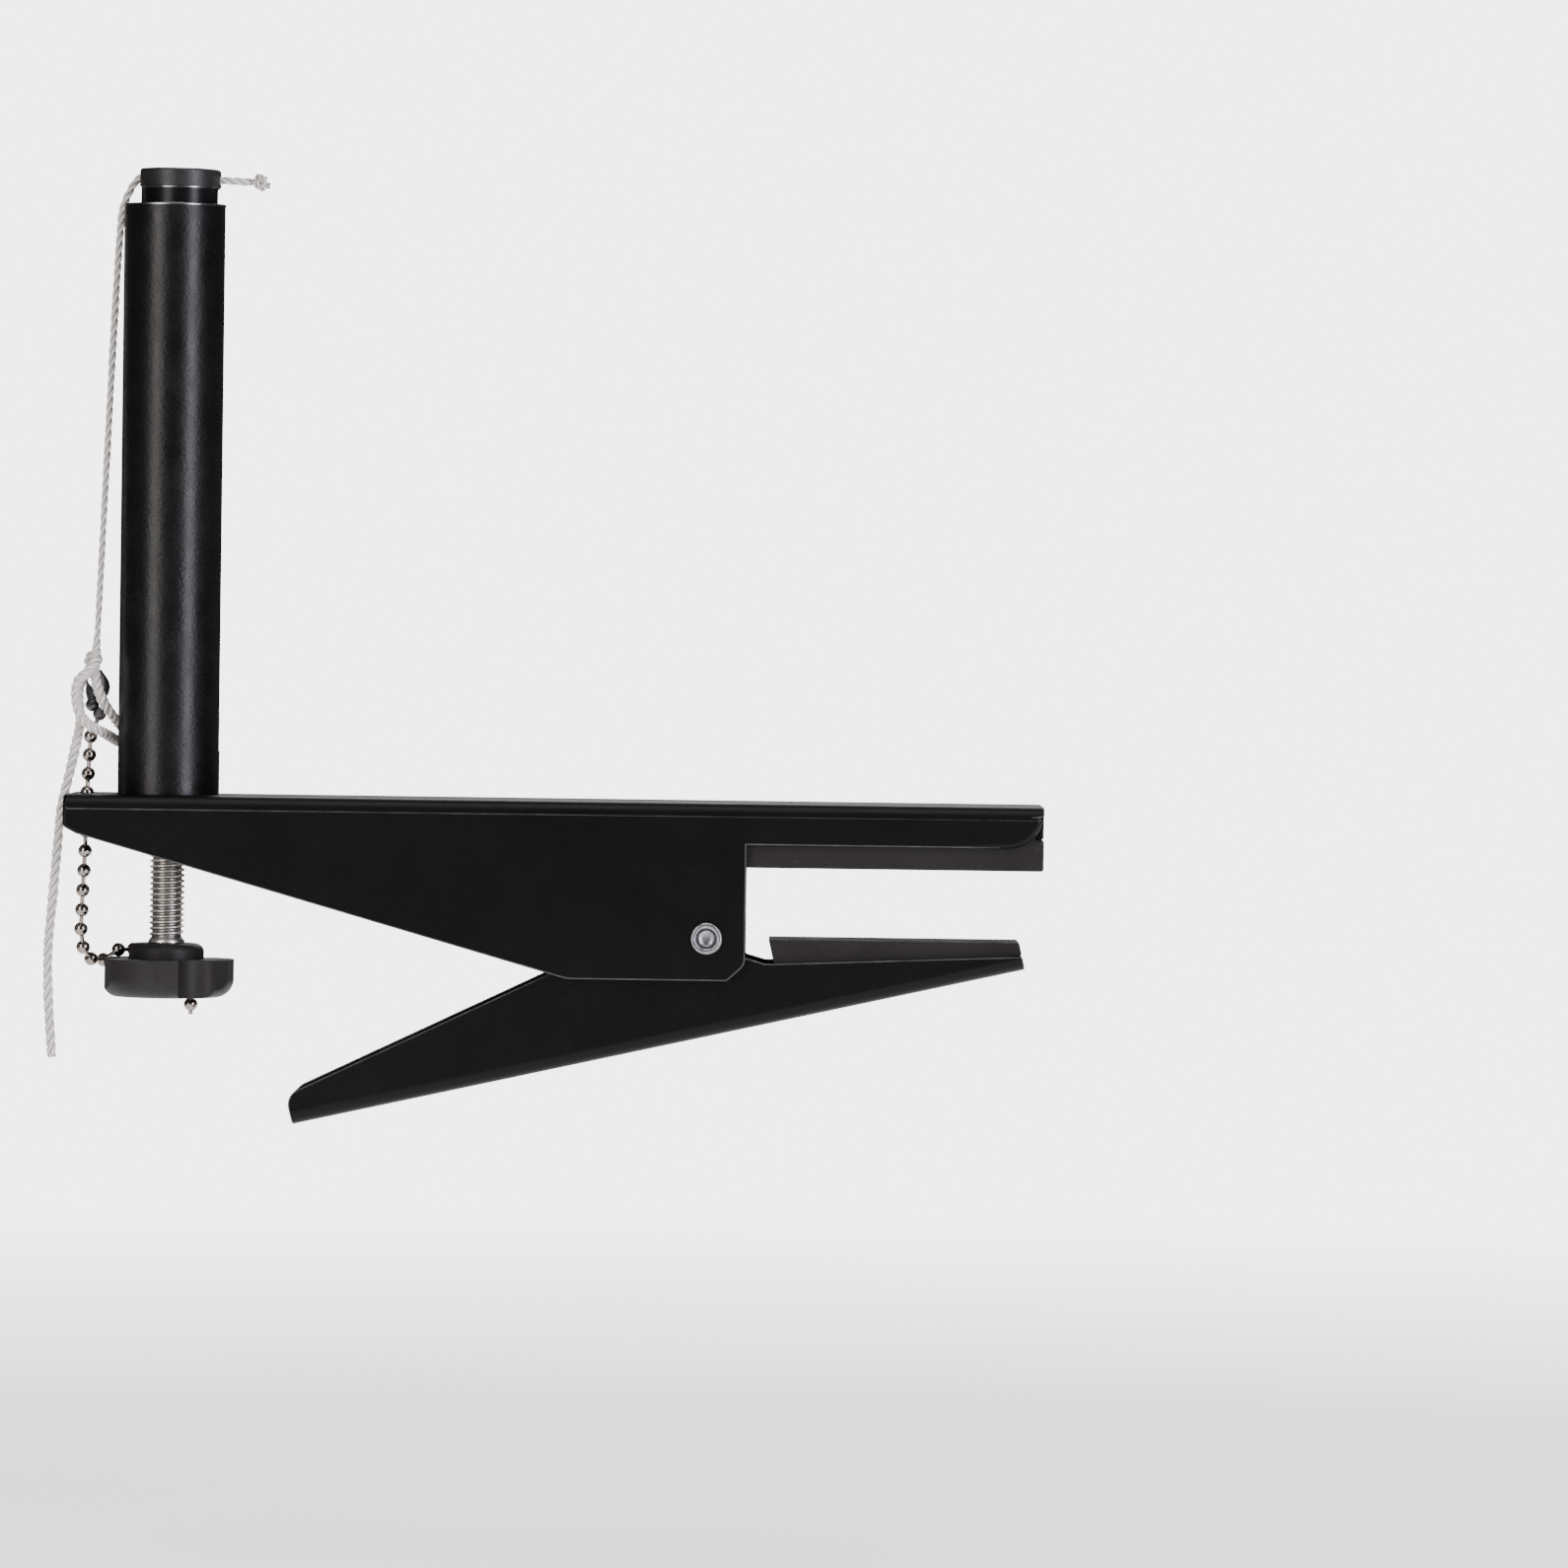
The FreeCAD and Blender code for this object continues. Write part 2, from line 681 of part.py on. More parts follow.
def make_post():
    """Slotted tube, foot nut, inner post, cap and guide screw, all turned about the post's axis."""
    tube = start_body("post_tube", "post_x")
    wall = rectangle(
        tube,
        "tube_profile",
        "XZ_Plane",
        ("tube_radius - tube_wall", "web_top"),
        ("tube_radius", "tube_top"),
    )
    revolve(tube, "tube_turned", wall)
    round_off(tube, "tube_rim", "0.5", ring_at("tube_radius", "tube_top"))
    slot = rectangle(
        tube,
        "tube_slot_side",
        "XZ_Plane",
        ("0.5*tube_radius", "tube_slot_low"),
        ("2*tube_radius", "tube_top + 5"),
    )
    pocket(tube, "net_slot", slot, "tube_slot")

    nut = start_body("post_foot_nut", "post_x")
    profile = outline(
        nut,
        "foot_nut_profile",
        "XZ_Plane",
        [
            ("screw_radius + 0.1", "nut_low"),
            ("nut_peen", "nut_low"),
            ("nut_peen", "web_top - sheet"),
            ("nut_hole", "web_top - sheet"),
            ("nut_hole", "web_top"),
            ("tube_radius - tube_wall", "web_top"),
            ("tube_radius - tube_wall", "nut_high"),
            ("screw_radius + 0.1", "nut_high"),
        ],
    )
    revolve(nut, "foot_nut_turned", profile)

    inner = start_body("inner_post", "post_x", "foot_z")
    profile = outline(
        inner,
        "inner_profile",
        "XZ_Plane",
        [
            ("spigot_bore", "0"),
            ("inner_radius", "0"),
            ("inner_radius", "inner_length"),
            ("stem_radius", "inner_length"),
            ("stem_radius", "inner_length - stem_length"),
            ("0", "inner_length - stem_length"),
            ("0", "spigot_bore_depth"),
            ("spigot_bore", "spigot_bore_depth"),
        ],
    )
    revolve(inner, "inner_turned", profile)
    groove = rectangle(
        inner,
        "rod_groove_side",
        "XZ_Plane",
        ("rod_groove_floor", "rod_groove_low"),
        ("2*inner_radius", "inner_length + 5"),
    )
    pocket(inner, "net_rod_groove", groove, "rod_groove")
    guide_up = "0.5*neck_low + 0.5*neck_high - foot_z"
    hole = circle(inner, "guide_ring", "YZ_Plane", "0", guide_up, "guide_radius + guide_play")
    drilled = inner.newObject("PartDesign::Pocket", "guide_hole")
    drilled.Profile = hole
    drilled.Reversed = True
    drilled.setExpression("Length", bound("2*inner_radius"))
    document.recompute()

    cap = start_body("post_cap", "post_x", "foot_z")
    profile = outline(
        cap,
        "cap_profile",
        "XZ_Plane",
        [
            ("0", "inner_length - stem_length"),
            ("stem_radius", "inner_length - stem_length"),
            ("stem_radius", "inner_length"),
            ("cap_radius", "inner_length"),
            ("cap_radius", "inner_length + cap_thick"),
            ("0", "inner_length + cap_thick"),
        ],
    )
    revolve(cap, "cap_turned", profile)
    round_off(cap, "cap_edge", "cap_round", ring_at("cap_radius", "inner_length + cap_thick"))
    slot = rectangle(
        cap,
        "cap_slot_end",
        "YZ_Plane",
        ("-0.5*cap_slot", "inner_length + cap_slot_floor"),
        ("0.5*cap_slot", "inner_length + cap_thick + 2"),
    )
    pocket(cap, "cord_slot", slot, "4*cap_radius")

    guide = start_body("guide_screw", "post_x", "foot_z")
    height = "0.5*neck_low + 0.5*neck_high - foot_z"
    guide.Placement.Base = Vector(size["post_x"], 0, size["foot_z"] + number(height))
    guide.setExpression("Placement.Base.z", bound(f"foot_z + {height}"))
    profile = outline(
        guide,
        "guide_profile",
        "XZ_Plane",
        [
            ("neck_radius + 0.2", "0"),
            ("neck_radius + 0.2", "guide_tip"),
            ("spigot_bore + 0.3", "guide_tip"),
            ("spigot_bore + 0.3", "guide_radius"),
            ("inner_radius + 0.2", "guide_radius"),
            ("inner_radius + 0.2", "guide_head"),
            ("tube_radius - 0.2", "guide_head"),
            ("tube_radius - 0.2", "0"),
        ],
    )
    revolve(guide, "guide_turned", profile, axis="H_Axis")

    lean = FreeCAD.Rotation(Vector(0, 1, 0), size["inner_lean"])
    for body in (inner, cap):
        body.Placement = FreeCAD.Placement(body.Placement.Base, lean)


def make_height_screw():
    """Screw with its knob, the knob's hex nut and the thrust washer that carries the inner post."""
    screw = start_body("height_screw", "post_x")
    profile = outline(
        screw,
        "screw_profile",
        "XZ_Plane",
        [
            ("0", "screw_low"),
            ("screw_radius", "screw_low"),
            ("screw_radius", "screw_shoulder"),
            ("spigot_radius", "screw_shoulder"),
            ("spigot_radius", "neck_low"),
            ("neck_radius", "neck_low"),
            ("neck_radius", "neck_high"),
            ("spigot_radius", "neck_high"),
            ("spigot_radius", "spigot_top"),
            ("0", "spigot_top"),
        ],
    )
    revolve(screw, "screw_turned", profile)

    washer = start_body("thrust_washer", "post_x")
    wall = rectangle(
        washer,
        "thrust_profile",
        "XZ_Plane",
        ("thrust_inner", "screw_shoulder"),
        ("thrust_outer", "screw_shoulder + thrust_thick"),
    )
    revolve(washer, "thrust_turned", wall)

    knob = start_body("knob", "post_x")
    profile = outline(
        knob,
        "knob_profile",
        "XZ_Plane",
        [
            ("screw_radius", "knob_low"),
            ("knob_radius", "knob_low"),
            ("knob_radius", "knob_shelf"),
            ("hub_radius", "knob_shelf"),
            ("hub_radius", "hub_top"),
            ("screw_radius", "hub_top"),
        ],
    )
    revolve(knob, "knob_turned", profile)
    round_off(knob, "wing_underside", "wing_round", ring_at("knob_radius", "knob_low"))
    round_off(knob, "hub_edge", "hub_round", ring_at("hub_radius", "hub_top"))
    notch = circle(knob, "notch_ring", "XY_Plane", "notch_x", "notch_y", "notch_radius")
    hollow = pocket(knob, "first_notch", notch, "cut_through")
    near_flat = outline(
        knob,
        "near_facet_plan",
        "XY_Plane",
        [
            ("facet_x", "facet_y"),
            ("facet_end_x", "facet_end_y"),
            ("facet_end_x", "facet_y - knob_clear"),
            ("facet_x", "facet_y - knob_clear"),
        ],
    )
    near_facet = pocket(knob, "near_facet", near_flat, "cut_through")
    far_flat = outline(
        knob,
        "far_facet_plan",
        "XY_Plane",
        [
            ("far_facet_x", "far_facet_y"),
            ("far_facet_end_x", "far_facet_end_y"),
            ("far_facet_end_x + knob_clear", "far_facet_end_y - 0.5*knob_clear"),
            ("far_facet_x + knob_clear", "far_facet_y - 0.5*knob_clear"),
        ],
    )
    far_facet = pocket(knob, "far_facet", far_flat, "cut_through")
    pattern = knob.newObject("PartDesign::PolarPattern", "notches")
    pattern.Originals = [hollow, near_facet, far_facet]
    axis = next(item for item in knob.Origin.OriginFeatures if item.Role == "Z_Axis")
    pattern.Axis = (axis, [""])
    pattern.Angle = 360.0
    pattern.Occurrences = 3
    knob.Tip = pattern
    document.recompute()
    hexagon = [
        ("nut_corner", "0"),
        ("0.5*nut_corner", "nut_flat"),
        ("-0.5*nut_corner", "nut_flat"),
        ("-nut_corner", "0"),
        ("-0.5*nut_corner", "-nut_flat"),
        ("0.5*nut_corner", "-nut_flat"),
    ]
    seat = knob.newObject("PartDesign::Pocket", "nut_seat")
    drawing = outline(knob, "nut_seat_hexagon", "XY_Plane", hexagon)
    drawing.AttachmentOffset = FreeCAD.Placement(Vector(0, 0, size["knob_low"]), FreeCAD.Rotation())
    seat.Profile = drawing
    seat.Reversed = True
    seat.setExpression("Length", bound("nut_thick + 0.2"))
    knob.Tip = seat
    document.recompute()

    nut = start_body("knob_nut", "post_x")
    drawing = outline(nut, "nut_hexagon", "XY_Plane", hexagon)
    drawing.AttachmentOffset = FreeCAD.Placement(Vector(0, 0, size["knob_low"] + 0.2), FreeCAD.Rotation())
    block = nut.newObject("PartDesign::Pad", "nut_block")
    block.Profile = drawing
    block.setExpression("Length", bound("nut_thick"))
    document.recompute()
    thread_ring = circle(nut, "nut_thread_ring", "XY_Plane", "0", "0", "screw_radius")
    pocket(nut, "nut_thread", thread_ring, "cut_through")


def keep_shape(label, shape, base=Vector(0, 0, 0)):
    """A sub-part whose shape follows a route in space, made with Part's own functions."""
    item = document.addObject("Part::Feature", label)
    item.Label = label
    item.Shape = shape
    item.Placement = FreeCAD.Placement(base, FreeCAD.Rotation())
    subparts.append(item)
    return item


def rod(start, end, radius):
    """A round bar from one point to another."""
    step = end - start
    return Part.makeCylinder(radius, step.Length, start, step)


def tangent_point(target, side):
    """Where a straight leg through target touches the coil, in the XZ plane about the pivot."""
    reach = math.hypot(target.x, target.z)
    angle = math.atan2(target.z, target.x) + side * math.acos(size["coil_radius"] / reach)
    touch = Vector(size["coil_radius"] * math.cos(angle), target.y, size["coil_radius"] * math.sin(angle))
    return touch, angle


def make_torsion_spring():
    """Coil on the pivot sleeve, with one leg under the bracket's web and one on the lever's web."""
    wire = size["wire_radius"]
    pivot = Vector(size["pivot_x"], 0, size["pivot_z"])
    side = size["coil_pitch"] * size["coil_turns"] / 2 + size["coil_pitch"] / 7
    web = size["web_top"] - size["sheet"] - wire - size["leg_play"]
    upper_end = Vector(size["upper_leg_x"], -side, web) - pivot

    slope = math.radians(lever_angle())
    along, up = size["lower_leg_along"], size["sheet"] + wire + size["leg_play"]
    lower_end = Vector(
        size["lever_x"] + along * math.cos(slope) - up * math.sin(slope),
        side,
        size["lever_z"] + along * math.sin(slope) + up * math.cos(slope),
    )
    lower_end = lower_end - pivot

    upper_start, upper_angle = tangent_point(upper_end, -1)
    lower_start, lower_angle = tangent_point(lower_end, 1)
    turns = size["coil_turns"] + (upper_angle - lower_angle) / (2 * math.pi)
    helix = Part.makeHelix(2 * side / turns, 2 * side, size["coil_radius"])
    helix.rotate(Vector(0, 0, 0), Vector(1, 0, 0), -90)
    helix.translate(Vector(0, -side, 0))
    helix.rotate(Vector(0, 0, 0), Vector(0, 1, 0), -math.degrees(upper_angle))
    section = Part.Wire(Part.makeCircle(wire, upper_start, upper_start - upper_end))
    coil = Part.Wire(helix.Edges).makePipeShell([section], True, True)
    legs = [rod(upper_start, upper_end, wire), rod(lower_start, lower_end, wire)]
    joints = [Part.makeSphere(wire, upper_start), Part.makeSphere(wire, lower_start)]
    keep_shape("torsion_spring", coil.fuse(legs + joints), pivot)


def bead(centre, before, after):
    """A ball with its seam and poles turned away from the wires that run towards before and after."""
    way_in = (before - centre).normalize()
    way_out = (after - centre).normalize()
    outward = -(way_in + way_out)
    if outward.Length < STRAIGHT:
        outward = way_in.cross(SKEW)
    pole = way_in.cross(outward)
    ball = Part.makeSphere(size["bead_radius"])
    ball.Placement = FreeCAD.Placement(centre, FreeCAD.Rotation(outward, Vector(), pole, "ZXY"))
    return ball


def make_chain(label, beads, lead=None):
    """Steel beads on short wires; lead is a point that the first wire reaches out to."""
    centres = [Vector(*place) for place in beads]
    first = lead if lead is not None else centres[0] * 2 - centres[1]
    line = [first] + centres + [centres[-1] * 2 - centres[-2]]
    solids = [bead(*trio) for trio in zip(line[1:], line, line[2:])]
    ends = list(zip(centres, centres[1:]))
    if lead is not None:
        ends.append((lead, centres[0]))
    for start, end in ends:
        solids.append(rod(start, end, size["link_radius"]))
    keep_shape(label, solids[0].fuse(solids[1:]))


def gap_end(before, first):
    """A point just clear of the bead before, on the way to the first bead of the next stretch."""
    away = Vector(*first) - Vector(*before)
    return Vector(*before) + away * ((size["bead_radius"] + BEAD_CLEAR) / away.Length)


def make_chains():
    make_chain("bead_chain_tie", CHAIN_TIE)
    make_chain("bead_chain_drop", CHAIN_DROP, gap_end(CHAIN_TIE[-1], CHAIN_DROP[0]))
    make_chain("bead_chain_tail", CHAIN_TAIL, gap_end(CHAIN_DROP[-1], CHAIN_TAIL[0]))


def cord_path(points):
    """Straight runs joined by arcs as large as the runs allow."""
    places = [Vector(*point) for point in points]
    edges = []
    radii = []
    last = places[0]
    for before, corner, after in zip(places, places[1:], places[2:]):
        way_in = (corner - before).normalize()
        way_out = (after - corner).normalize()
        half = way_in.getAngle(way_out) / 2
        tangent = 0.45 * min((corner - before).Length, (after - corner).Length)
        radii.append(tangent / math.tan(half))
        begin = corner - way_in * tangent
        finish = corner + way_out * tangent
        inward = (way_out - way_in).normalize()
        middle = corner + inward * (radii[-1] / math.cos(half) - radii[-1])
        edges.append(Part.LineSegment(last, begin).toShape())
        edges.append(Part.Arc(begin, middle, finish).toShape())
        last = finish
    edges.append(Part.LineSegment(last, places[-1]).toShape())
    return Part.Wire(edges), radii


def make_cord(label, points, radius):
    path, radii = cord_path(points)
    heading = Vector(*points[1]) - Vector(*points[0])
    section = Part.Wire(Part.makeCircle(radius, Vector(*points[0]), heading))
    tube = path.makePipeShell([section], True, False)
    expected = math.pi * radius**2 * path.Length
    print(f"{label}: {path.Length:.1f} mm, radii " + " ".join(f"{r:.1f}" for r in radii))
    print(f"{label}: volume {tube.Volume:.1f} of {expected:.1f}")
    keep_shape(label, tube)


def make_cords():
    make_cord("tension_cord_run", CORD_RUN, size["cord_taut"])
    make_cord("tension_cord_tail", CORD_TAIL, size["cord_slack"])
    ball = document.addObject("Part::Sphere", "cord_stopper_knot")
    ball.Label = "cord_stopper_knot"
    ball.setExpression("Radius", bound("stopper_radius"))
    ball.setExpression("Placement.Base.x", bound("stopper_x"))
    ball.setExpression("Placement.Base.z", bound("stopper_z"))
    subparts.append(ball)
    document.recompute()


def check_and_export():
    """Stops at any failed object or shape, then writes one STEP file for each sub-part."""
    document.recompute()
    for item in document.Objects:
        if "Invalid" in item.State or "Error" in item.State:
            raise RuntimeError(f"{item.Name} failed: {item.State}")
    for item in subparts:
        shape = item.Shape
        if shape.isNull() or not shape.isValid() or not shape.Solids:
            raise RuntimeError(f"{item.Label} has no valid solid")
    os.makedirs("parts", exist_ok=True)
    for item in subparts:
        item.Shape.exportStep(f"parts/{item.Label}.step")
    print(len(subparts), "sub-parts written")


fill_sheet()
make_upper_bracket()
make_upper_jaw_pad()
make_pivot()
make_lower_lever()
make_lower_jaw_pad()
make_torsion_spring()
make_post()
make_height_screw()
make_chains()
make_cords()
check_and_export()
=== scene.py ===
"""Looks of the table tennis net clamp: finished surfaces, real thread, bead chain, wire spring and cord.

Everything is in metres in the part's own frame: +X over the table, +Y away from the camera, +Z up, with the
origin where the table's edge meets the playing surface. Only the routes of the cord and of the chain, and the
rivet's eye, are in millimetres.
"""

import bmesh
import bpy
import json
import math
from mathutils import Matrix, Vector


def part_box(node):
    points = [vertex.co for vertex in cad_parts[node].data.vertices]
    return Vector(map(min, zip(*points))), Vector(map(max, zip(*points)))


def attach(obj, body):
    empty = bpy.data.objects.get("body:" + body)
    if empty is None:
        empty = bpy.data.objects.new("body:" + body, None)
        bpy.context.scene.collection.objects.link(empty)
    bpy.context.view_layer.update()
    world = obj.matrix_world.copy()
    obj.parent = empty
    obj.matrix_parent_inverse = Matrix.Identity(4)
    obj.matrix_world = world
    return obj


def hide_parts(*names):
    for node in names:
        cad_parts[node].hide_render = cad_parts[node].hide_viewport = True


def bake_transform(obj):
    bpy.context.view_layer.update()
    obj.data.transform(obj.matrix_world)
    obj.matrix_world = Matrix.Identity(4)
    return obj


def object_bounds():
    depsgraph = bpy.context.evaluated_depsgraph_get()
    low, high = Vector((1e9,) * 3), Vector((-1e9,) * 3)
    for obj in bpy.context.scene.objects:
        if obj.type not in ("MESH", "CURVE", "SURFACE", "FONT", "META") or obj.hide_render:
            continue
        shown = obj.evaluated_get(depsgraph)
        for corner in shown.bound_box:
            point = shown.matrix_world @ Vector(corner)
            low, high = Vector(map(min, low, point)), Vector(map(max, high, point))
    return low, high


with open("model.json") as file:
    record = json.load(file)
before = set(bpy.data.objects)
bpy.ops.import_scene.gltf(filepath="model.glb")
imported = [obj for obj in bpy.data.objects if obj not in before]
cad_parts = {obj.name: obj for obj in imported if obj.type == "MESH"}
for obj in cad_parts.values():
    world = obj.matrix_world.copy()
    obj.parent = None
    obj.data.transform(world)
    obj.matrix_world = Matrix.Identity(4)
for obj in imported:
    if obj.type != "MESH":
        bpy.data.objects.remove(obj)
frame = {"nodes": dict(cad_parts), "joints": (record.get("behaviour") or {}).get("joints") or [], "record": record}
cad_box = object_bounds()

MM = 0.001

# --------------------------------------------------------------------------------- camera and light

CAMERA_FROM = Vector((0.008, -2.0, 0.056))
CAMERA_AT = Vector((0.0081, 0.0, 0.0184))
CAMERA_ROLL = math.radians(0.785)
VIEW_WIDTH = 0.3495
SENSOR = 36.0


def make_camera():
    data = bpy.data.cameras.new("camera")
    camera = bpy.data.objects.new("camera", data)
    bpy.context.scene.collection.objects.link(camera)
    sight = CAMERA_AT - CAMERA_FROM
    turn = sight.to_track_quat("-Z", "Y").to_matrix().to_4x4()
    camera.matrix_world = Matrix.Translation(CAMERA_FROM) @ turn @ Matrix.Rotation(CAMERA_ROLL, 4, "Z")
    data.sensor_width = SENSOR
    data.lens = SENSOR * sight.length / VIEW_WIDTH
    data.clip_end = 100.0
    bpy.context.scene.camera = camera


LAMPS_AIM = Vector((-0.05, 0, 0.04))


def soft_box(name, azimuth, height, distance, width, tall, power, colour):
    """An area light that faces the object; azimuth is in degrees, 0 on the camera's side, towards +X."""
    data = bpy.data.lights.new(name, "AREA")
    data.shape = "RECTANGLE"
    data.size = width
    data.size_y = tall
    data.energy = power
    data.color = colour
    lamp = bpy.data.objects.new(name, data)
    bpy.context.scene.collection.objects.link(lamp)
    angle = math.radians(azimuth)
    place = Vector((math.sin(angle) * distance, -math.cos(angle) * distance, height))
    turn = (LAMPS_AIM - place).to_track_quat("-Z", "Y").to_matrix().to_4x4()
    lamp.matrix_world = Matrix.Translation(place) @ turn


BACKDROP_GLOW = 4.6
ROOM_LIGHT = 0.07


def make_studio():
    soft_box("left_strip", -38.2, 0.45, 1.69, 0.62, 1.5, 19.5, (1.0, 0.965, 0.93))
    soft_box("right_strip", 42.3, 0.38, 1.6, 0.54, 1.6, 31, (0.90, 0.86, 1.0))
    soft_box("top_panel", 0, 2.1, 0.7, 1.4, 1.4, 24, (1.0, 1.0, 1.0))
    soft_box("back_panel", 172, 1.2, 1.8, 1.2, 1.2, 16, (1.0, 1.0, 1.0))
    world = bpy.data.worlds.new("studio")
    bpy.context.scene.world = world
    world.use_nodes = True
    tree = world.node_tree
    tree.nodes.clear()
    output = tree.nodes.new("ShaderNodeOutputWorld")
    seen = tree.nodes.new("ShaderNodeBackground")
    seen.inputs["Color"].default_value = (1.0, 1.0, 1.0, 1)
    seen.inputs["Strength"].default_value = BACKDROP_GLOW
    light = tree.nodes.new("ShaderNodeBackground")
    light.inputs["Color"].default_value = (1.0, 1.0, 1.0, 1)
    light.inputs["Strength"].default_value = ROOM_LIGHT
    mix = tree.nodes.new("ShaderNodeMixShader")
    path = tree.nodes.new("ShaderNodeLightPath")
    tree.links.new(path.outputs["Is Camera Ray"], mix.inputs["Fac"])
    tree.links.new(light.outputs["Background"], mix.inputs[1])
    tree.links.new(seen.outputs["Background"], mix.inputs[2])
    tree.links.new(mix.outputs["Shader"], output.inputs["Surface"])


FLOOR_DROP = 0.10
FLOOR_RADIUS = 1.25
FLOOR_GLOW = 1.3
FADE_FROM = 0.35
FADE_TO = 0.97


def make_floor():
    """A pale disc that fades out towards its rim, so no horizon shows."""
    mesh = bpy.data.meshes.new("floor")
    shape = bmesh.new()
    bmesh.ops.create_circle(shape, cap_ends=True, segments=128, radius=FLOOR_RADIUS)
    shape.to_mesh(mesh)
    shape.free()
    floor = bpy.data.objects.new("floor", mesh)
    bpy.context.scene.collection.objects.link(floor)
    floor.location.z = cad_box[0][2] - FLOOR_DROP
    skin = Surface("floor", (0.8, 0.8, 0.8), 0.9, specular=0.1)
    skin.shader.inputs["Emission Color"].default_value = (1, 1, 1, 1)
    skin.shader.inputs["Emission Strength"].default_value = FLOOR_GLOW
    cloud = skin.noise(3.0, 2.0)
    skin.mix_colour(cloud, (0.785, 0.785, 0.785), (0.815, 0.815, 0.815), 0.3, 0.7)
    radius = skin.tree.nodes.new("ShaderNodeVectorMath")
    radius.operation = "LENGTH"
    skin.link(skin.place, radius.inputs[0])
    fade = skin.ranged(radius.outputs["Value"], FADE_FROM * FLOOR_RADIUS, FADE_TO * FLOOR_RADIUS, 1.0, 0.0)
    skin.link(fade, skin.shader.inputs["Alpha"])
    mesh.materials.append(skin.material)


# ------------------------------------------------------------------------------------ surface tools


NOISE_ROUGHNESS = 0.55
NOISE_LOW = 0.3
NOISE_HIGH = 0.7


class Surface:
    """A Principled material in object coordinates, with helpers that add grain, variation and relief."""

    def __init__(self, name, colour, roughness, metallic=0.0, specular=None):
        self.material = bpy.data.materials.new(name)
        self.material.use_nodes = True
        self.tree = self.material.node_tree
        self.shader = self.tree.nodes["Principled BSDF"]
        self.shader.inputs["Base Color"].default_value = (*colour, 1)
        self.shader.inputs["Roughness"].default_value = roughness
        self.shader.inputs["Metallic"].default_value = metallic
        if specular is not None:
            self.shader.inputs["Specular IOR Level"].default_value = specular
        self.place = self.tree.nodes.new("ShaderNodeTexCoord").outputs["Object"]
        self.relief = None

    def link(self, source, target):
        self.tree.links.new(source, target)

    def stretched(self, x, y, z, source=None):
        """Coordinates scaled differently along each axis."""
        node = self.tree.nodes.new("ShaderNodeMapping")
        node.inputs["Scale"].default_value = (x, y, z)
        self.link(source or self.place, node.inputs["Vector"])
        return node.outputs["Vector"]

    def noise(self, scale, detail, place=None):
        node = self.tree.nodes.new("ShaderNodeTexNoise")
        node.inputs["Scale"].default_value = scale
        node.inputs["Detail"].default_value = detail
        node.inputs["Roughness"].default_value = NOISE_ROUGHNESS
        self.link(place or self.place, node.inputs["Vector"])
        return node.outputs["Fac"]

    def ranged(self, value, low_in, high_in, low_out, high_out):
        """The value, moved from one range to another and held inside it."""
        node = self.tree.nodes.new("ShaderNodeMapRange")
        node.inputs["From Min"].default_value = low_in
        node.inputs["From Max"].default_value = high_in
        node.inputs["To Min"].default_value = low_out
        node.inputs["To Max"].default_value = high_out
        self.link(value, node.inputs["Value"])
        return node.outputs["Result"]

    def mix_colour(self, value, first, second, low, high):
        """Mixes two colours where the value goes from low to high; the first may be an earlier mix."""
        node = self.tree.nodes.new("ShaderNodeMix")
        node.data_type = "RGBA"
        self.link(self.ranged(value, low, high, 0.0, 1.0), node.inputs["Factor"])
        if isinstance(first, tuple):
            node.inputs["A"].default_value = (*first, 1)
        else:
            self.link(first, node.inputs["A"])
        node.inputs["B"].default_value = (*second, 1)
        self.link(node.outputs["Result"], self.shader.inputs["Base Color"])
        return node.outputs["Result"]

    def vary_roughness(self, value, low, high):
        self.link(self.ranged(value, NOISE_LOW, NOISE_HIGH, low, high), self.shader.inputs["Roughness"])

    def bump(self, value, distance, strength):
        """Adds relief of the given depth, in metres, on top of any relief added before."""
        node = self.tree.nodes.new("ShaderNodeBump")
        node.inputs["Strength"].default_value = strength
        node.inputs["Distance"].default_value = distance
        self.link(value, node.inputs["Height"])
        if self.relief is not None:
            self.link(self.relief, node.inputs["Normal"])
        self.relief = node.outputs["Normal"]
        self.link(self.relief, self.shader.inputs["Normal"])


# ---------------------------------------------------------------------------------------- materials

SCREW_X = sum(corner[0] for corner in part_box("height_screw")) / 2
THREAD_PITCH = 1.25 * MM
THREAD_CREST = 3.95 * MM
THREAD_ROOT = 3.24 * MM


def powder_coat():
    """Fine-grained black powder coat with a faint orange peel."""
    skin = Surface("black_powder_coat", (0.0011, 0.00095, 0.00095), 0.4, specular=0.14)
    cloud = skin.noise(26.0, 4.0)
    base = skin.mix_colour(cloud, (0.0007, 0.0006, 0.0006), (0.0015, 0.0013, 0.0013), 0.3, 0.7)
    specks = skin.noise(2600.0, 2.0)
    skin.mix_colour(specks, base, (0.008, 0.008, 0.0085), 0.62, 0.78)
    skin.vary_roughness(skin.noise(70.0, 5.0), 0.37, 0.43)
    skin.bump(skin.noise(650.0, 3.0), 0.00005, 0.45)
    skin.bump(skin.noise(2300.0, 2.0), 0.00002, 0.5)
    return skin.material


def tube_coat():
    skin = Surface("satin_black_tube", (0.002, 0.0019, 0.0019), 0.33, specular=0.3)
    cloud = skin.noise(30.0, 4.0)
    base = skin.mix_colour(cloud, (0.0015, 0.0014, 0.0013), (0.0027, 0.0026, 0.0025), 0.3, 0.7)
    skin.mix_colour(skin.noise(2200.0, 2.0), base, (0.011, 0.011, 0.0115), 0.6, 0.8)
    skin.vary_roughness(skin.noise(160.0, 4.0), 0.28, 0.38)
    skin.bump(skin.noise(1100.0, 3.0), 0.00007, 0.8)
    skin.bump(skin.noise(2600.0, 2.0), 0.00003, 0.8)
    return skin.material


